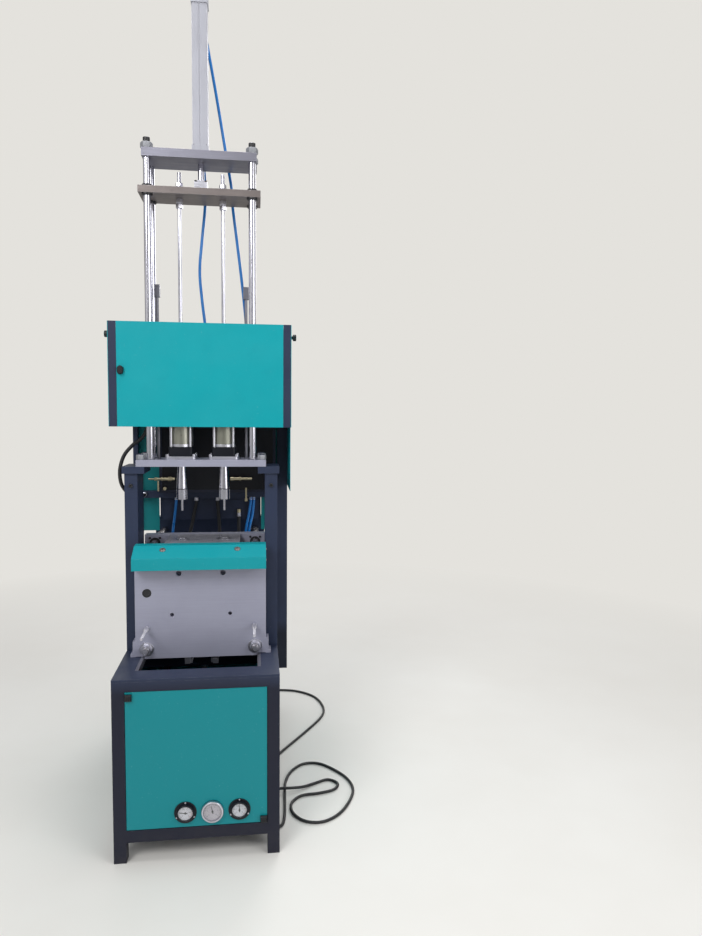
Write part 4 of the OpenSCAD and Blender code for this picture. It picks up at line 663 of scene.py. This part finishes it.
def latches():
    front = -12
    for name, body, x, z in (("upper", "upper_latch", -241, 620), ("lower", "lower_latch", 241, 137)):
        bm = bmesh.new()
        turned(bm, [(8.6, 0), (8.6, 0.9), (7.6, 1.2), (6.2, 1.2), (5.2, -0.6), (0, -0.6)],
               at(x, front - 0.1, z), -Y)
        block(bm, (x - 1.6, front - 2.4, z - 6.2), (x + 1.6, front + 0.2, z + 6.2))
        piece(f"latch_turn_{name}", bm, body, PLASTIC)


latches()


TIE = [(x, z) for x in (-210, 210) for z in (717, 1088)]
TIE_R, WASHER, TIE_NUT = 12, 4, 19
STOP_X, STOP_Z = 207, 801.5
BUSH_SCREWS = (45, 135, 225, 315)
BUSH_SCREW_AT = 29
CYLINDER_ROD, CAP_FRONT, CAP_REAR = 67, 1215, 1250
COVER_CHEEK, COVER_SLOPE = 252.4, Vector((0, -37, 73))


def clamp():
    bm = bmesh.new()
    for x, z in TIE:
        thread(bm, at(x, PLATEN_Y - WASHER - TIE_NUT, z), -Y, TIE_R, 15, pitch=2.6)
        thread(bm, at(x, CROSSHEAD_Y + WASHER + TIE_NUT, z), Y, TIE_R, 15, pitch=2.6)
    piece("tie_bar_threads", bm, "front_clamp", ZINC, smooth=25)
    bm = bmesh.new()
    bore = TIE_R + 0.2
    for x, z in TIE:
        for y, axis in ((PLATEN_Y - WASHER, -Y), (CROSSHEAD_Y + WASHER, Y)):
            hex_nut(bm, at(x, y, z), axis, 36.4, TIE_NUT + 0.2, bore, turn=0.15 * (x > 0))
            turned(bm, [(bore, -4), (28.1, -4), (28.1, -0.4), (27.6, 0.15), (bore, 0.15), (bore, -4)],
                   at(x, y, z), axis, seg=48)
    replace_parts(piece("tie_bar_nut_set", bm, "front_clamp", ZINC), "tie_bar_nuts")
    bm = bmesh.new()
    for x in (-STOP_X, STOP_X):
        thread(bm, at(x, PLATEN_Y - 8, STOP_Z), -Y, 5, 136, pitch=1.6)
        hex_nut(bm, at(x, PLATEN_Y, STOP_Z), -Y, 17.4, 9.3, 5.1)
        hex_nut(bm, at(x, PLATEN_Y - 28, STOP_Z), -Y, 17.2, 8.5, 5.1, turn=0.9)
    piece("stop_bolt_threads", bm, "front_clamp", ZINC, smooth=25)
    bm = bmesh.new()
    turned(bm, [(0, -4), (8, -4), (8.6, -1.6), (12.5, -1.6), (13.2, -3), (15.8, -3), (16.2, -0.8),
                (17.4, -0.8), (17.4, -14)], at(-STOP_X, PLATEN_Y, CLAMP_Z + 36), -Y, seg=40)
    piece("platen_plug", bm, "front_clamp", OXIDE)
    cover_screws()
    bm = bmesh.new()
    for x, z in TIE:
        for a in (math.radians(angle) for angle in BUSH_SCREWS):
            dx, dz = BUSH_SCREW_AT * math.cos(a), BUSH_SCREW_AT * math.sin(a)
            cap_screw(bm, at(x + dx, REAR_PLATEN_Y + 0.1, z + dz), -Y, 6)
    piece("bush_screws", bm, "rear_clamp", OXIDE)
    bm = bmesh.new()
    for x in (-CYLINDER_ROD, CYLINDER_ROD):
        for dz in (-CYLINDER_ROD, CYLINDER_ROD):
            for y, axis in ((CROSSHEAD_Y + 25, Y), (CAP_FRONT, -Y), (CAP_REAR, Y)):
                hex_nut(bm, at(x, y, CLAMP_Z + dz), axis, 24, 11, 8.1)
    piece("clamp_cylinder_nuts", bm, "front_clamp", ZINC)
    for name, body, side in (("front", "front_clamp", -1), ("rear", "rear_clamp", 1)):
        bm = bmesh.new()
        for x in CAVITIES:
            half_ring(bm, x, side, 21.3, 29.6, PLATEN_TOP - 0.5, PLATEN_TOP + 0.5)
        piece(f"neck_rings_{name}", bm, body, ZINC, smooth=40)


def cover_screws():
    """Two domed screws on the cover's slope and two pan heads on each cheek."""
    bm = bmesh.new()
    for x in (-142, 142):
        turned(bm, [(0, -1), (12, -1), (12, 1.2), (10, 3.6), (5, 4.6), (4, 4.6, 6), (4, 2.2, 6), (0, 2.2)],
               at(x, 215, 1112.3), COVER_SLOPE)
    for z in (1107, 1064):
        pan_screw(bm, at(COVER_CHEEK, PLATEN_Y - 8, z), X, 5)
        pan_screw(bm, at(-COVER_CHEEK, PLATEN_Y - 8, z), -X, 5)
    piece("cover_screws", bm, "front_clamp", CARRIAGE)


def half_ring(bm, x, side, inner, outer, low, high, steps=24):
    """Half of a flat ring round a cavity's neck, on one side of the parting line."""
    rows = []
    for k in range(steps + 1):
        a = math.pi * k / steps
        row = []
        for r, z in ((inner, low), (outer, low), (outer, high), (inner, high)):
            row.append(bm.verts.new(at(x + r * math.cos(a), AXIS + side * (0.2 + r * math.sin(a)), z)))
        rows.append(row)
    for one, two in zip(rows, rows[1:]):
        for j in range(4):
            bm.faces.new((one[j], one[(j + 1) % 4], two[(j + 1) % 4], two[j]))
    bm.faces.new(rows[0])
    bm.faces.new(rows[-1])


clamp()


RODS = [(x, y) for x in (-201, 201) for y in (AXIS - 56, AXIS + 56)]
CORNERS = [(x, y) for x in (-238, 238) for y in (AXIS - 62, AXIS + 62)]
BLOW_TOP, FLANGE_TOP, BARREL_Z, BARREL_TOP, HEAD_TOP = 1452, 1464, 1502, 1702, 1740
TOP_FACE, CARRIAGE_Z, CARRIAGE_TOP = 2650, 2482, 2508
ROD_NUT, CORNER_NUT, LOCK_NUT = 22, 19, 19.9
SEAL_Z = 1328
POST_X, POST_FRONT = 275, 325.2


def blow_station():
    blow_cylinders()
    bm = bmesh.new()
    for x, y in RODS:
        turned(bm, [(13.9, 0), (18, 0), (18, 4), (17, 5), (13.9, 5)], at(x, y, BLOW_TOP), Z, seg=40)
    piece("rod_base_collars", bm, "base", DULL)
    bm = bmesh.new()
    for x, y in RODS:
        hex_nut(bm, at(x, y, TOP_FACE), Z, 41.4, 22.3, 13.7, turn=0.1)
    for x, y in CORNERS:
        hex_nut(bm, at(x, y, BLOW_TOP), Z, 30.4, 20.3, 10.2, turn=0.2)
    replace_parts(piece("frame_nut_set", bm, "base", NUT), "frame_nuts")
    bm = bmesh.new()
    for x, y in RODS:
        thread(bm, at(x, y, TOP_FACE + ROD_NUT), Z, 13.6, 19)
        turned(bm, [(13.7, 22.2), (13.7, 40.6), (12.6, 41.4), (0, 41.4)], at(x, y, TOP_FACE), Z, seg=32)
    for x, y in CORNERS:
        thread(bm, at(x, y, BLOW_TOP + CORNER_NUT), Z, 10, 5, point=1.0)
    for x in (-POST_X, POST_X):
        cap_screw(bm, at(x, POST_FRONT, 1350), -Y, 10)
    piece("frame_stud_threads", bm, "base", OXIDE, smooth=25)
    bm = bmesh.new()
    for x in CAVITIES:
        thread(bm, at(x, AXIS, CARRIAGE_TOP), Z, 7.5, 76, pitch=2.0)
        hex_nut(bm, at(x, AXIS, CARRIAGE_TOP), Z, 24.4, 16.2, 7.7)
        hex_nut(bm, at(x, AXIS, CARRIAGE_TOP + LOCK_NUT), Z, 24.3, 16.2, 7.7, turn=0.9)
        hex_nut(bm, at(x, AXIS, CARRIAGE_Z), -Z, 24.4, 16.2, 7.7)
        hex_nut(bm, at(x, AXIS, CARRIAGE_Z - LOCK_NUT), -Z, 24.3, 16.2, 7.7, turn=0.7)
    nuts = piece("stretch_rod_nut_set", bm, "stretch_carriage", ZINC, smooth=25)
    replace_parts(nuts, "rod_lock_nuts")
    bm = bmesh.new()
    for x in (-20, 20):
        for y in (-20, 20):
            cap_screw(bm, at(x, AXIS + y, CARRIAGE_TOP + 38), Z, 6)
    piece("coupling_screws", bm, "stretch_carriage", OXIDE)


def blow_cylinders():
    bm = bmesh.new()
    for x in CAVITIES:
        for dx in (-52, 52):
            for dy in (-46, 46):
                cap_screw(bm, at(x + dx, AXIS + dy, FLANGE_TOP), Z, 9)
        for dx in (-38, 38):
            for dy in (-38, 38):
                top = at(x + dx, AXIS + dy, HEAD_TOP)
                hex_nut(bm, top, Z, 13, 7, 0.1)
                turned(bm, [(0, 0), (4, 0), (4, 11), (0, 11.5)], top, Z)
                turned(bm, [(5.3, 0.2), (5.3, 199.8)], at(x + dx, AXIS + dy, BARREL_Z), Z, seg=20)
        for z in (BARREL_Z, BARREL_TOP - 11):
            turned(bm, [(43.9, 0.1), (45.2, 0.1), (45.2, 10.4), (44.4, 11), (43.9, 11)],
                   at(x, AXIS, z), Z, seg=64)
    piece("blow_station_bolts", bm, "base", ZINC)
    for name, x in zip(("left", "right"), CAVITIES):
        bm = bmesh.new()
        turned(bm, [(20.2, 0.2), (21.6, 0.2), (22.3, 0.8), (22.3, 2.2), (21.6, 2.8), (20.2, 2.8),
                    (20.2, 0.2)], at(x, AXIS, SEAL_Z), Z, seg=48)
        piece(f"nozzle_seal_{name}", bm, f"{name}_blow_nozzle", RUBBER)


blow_station()


def stretch_station():
    screw = [(0, 0), (5.5, 0), (5.5, 2.4), (5, 3), (3, 3, 6), (3, 1, 6), (0, 1)]
    bm = bmesh.new()
    lower_cap, upper_cap = 2684, 3252
    for z in (lower_cap, upper_cap):
        for x in (-25, 25):
            for y in (-25, 25):
                turned(bm, screw, at(x, AXIS + y, z), Z)
    piece("stretch_cylinder_bolts", bm, "base", OXIDE)


stretch_station()


def guard():
    knob = [(0, 0.2), (7, 0.2), (7, 8.6), (12, 8.6), (13.2, 10), (13.2, 20.2), (12, 21.8), (7, 21.8),
            (6, 20.6), (0, 20.6)]
    side, depth, height = 356, 386, 1947
    bm = bmesh.new()
    for x, axis in ((side, X), (-side, -X)):
        turned(bm, knob, at(x, depth, height), axis, seg=24)
    piece("side_hand_knobs", bm, "base", PLASTIC, smooth=20)


guard()


def stage():
    """The floor keeps the shadow near the machine and fades to the background farther out."""
    floor_r = 40000
    bm = bmesh.new()
    turned(bm, [(0, 0), (floor_r, 0)], Vector((0, 0, 0)), Z, seg=64)
    mesh = bpy.data.meshes.new("floor")
    bm.to_mesh(mesh)
    bm.free()
    floor = bpy.data.objects.new("floor", mesh)
    scene.collection.objects.link(floor)
    n = Nodes(bpy.data.materials.new("floor_paint"))
    tone = n.mix(n.ramp(n.noise(0.8, 4, 0.6), 0.3, 0.7), rgb(226, 223, 217), rgb(232, 230, 225))
    n.finish(tone, 0.6)
    near = n.out.inputs["Surface"].links[0].from_socket
    far = n.add("ShaderNodeEmission", {"Color": BACKGROUND}).outputs[0]
    radius = n.add("ShaderNodeVectorMath", {0: n.coords}, operation="LENGTH").outputs["Value"]
    seen = n.add("ShaderNodeLightPath").outputs["Is Camera Ray"]
    fade = n.math("MULTIPLY", n.ramp(radius, 1.7, 4.6), seen)
    n.put(n.out.inputs["Surface"], n.add("ShaderNodeMixShader", {0: fade, 1: near, 2: far}).outputs[0])
    mesh.materials.append(n.owner)


def surroundings():
    """Plain soft light, with the pale background for the camera, reflections and glass."""
    scene.world = bpy.data.worlds.new("studio")
    n = Nodes(scene.world, "ShaderNodeOutputWorld", "Generated")
    rays = n.add("ShaderNodeLightPath").outputs
    # Soft bright and darker stretches of the room, which only reflections see.
    turn = n.math("ARCTAN2", n.along("X"), n.along("Y"))
    wave = n.math("SINE", n.math("MULTIPLY_ADD", turn, 3.0, 1.3))
    bright = n.math("MAXIMUM", n.math("MULTIPLY_ADD", wave, 0.30, 0.66), rays["Is Camera Ray"])
    soft = n.add("ShaderNodeBackground", {"Color": (0.93, 0.96, 1.0, 1), "Strength": 0.42}).outputs[0]
    pale = n.add("ShaderNodeBackground", {"Color": BACKGROUND, "Strength": bright}).outputs[0]
    seen = n.math("MAXIMUM", rays["Is Camera Ray"], rays["Is Glossy Ray"])
    seen = n.math("MAXIMUM", seen, rays["Is Transmission Ray"])
    both = n.add("ShaderNodeMixShader", {0: seen, 1: soft, 2: pale}).outputs[0]
    n.put(n.out.inputs["Surface"], both)


def lamps():
    for name, place, target, size, power in (
            ("key", (-2.2, -4.4, 4.6), (0, -0.3, 1.3), 2.6, 150),
            ("fill", (3.4, -3.6, 2.6), (0, -0.3, 1.2), 2.8, 70),
            ("top", (0.2, -0.6, 5.6), (0, -0.3, 0.8), 2.4, 80),
            ("back", (1.8, 4.6, 4.0), (0, 0, 1.4), 3.0, 90)):
        data = bpy.data.lights.new(name, "AREA")
        data.shape = "DISK"
        data.size = size
        data.energy = power
        lamp = bpy.data.objects.new(name, data)
        lamp.location = place
        lamp.rotation_euler = (Vector(target) - Vector(place)).to_track_quat("-Z", "Y").to_euler()
        scene.collection.objects.link(lamp)


stage()
surroundings()
lamps()
scene.view_settings.view_transform = "Standard"
bpy.context.view_layer.update()
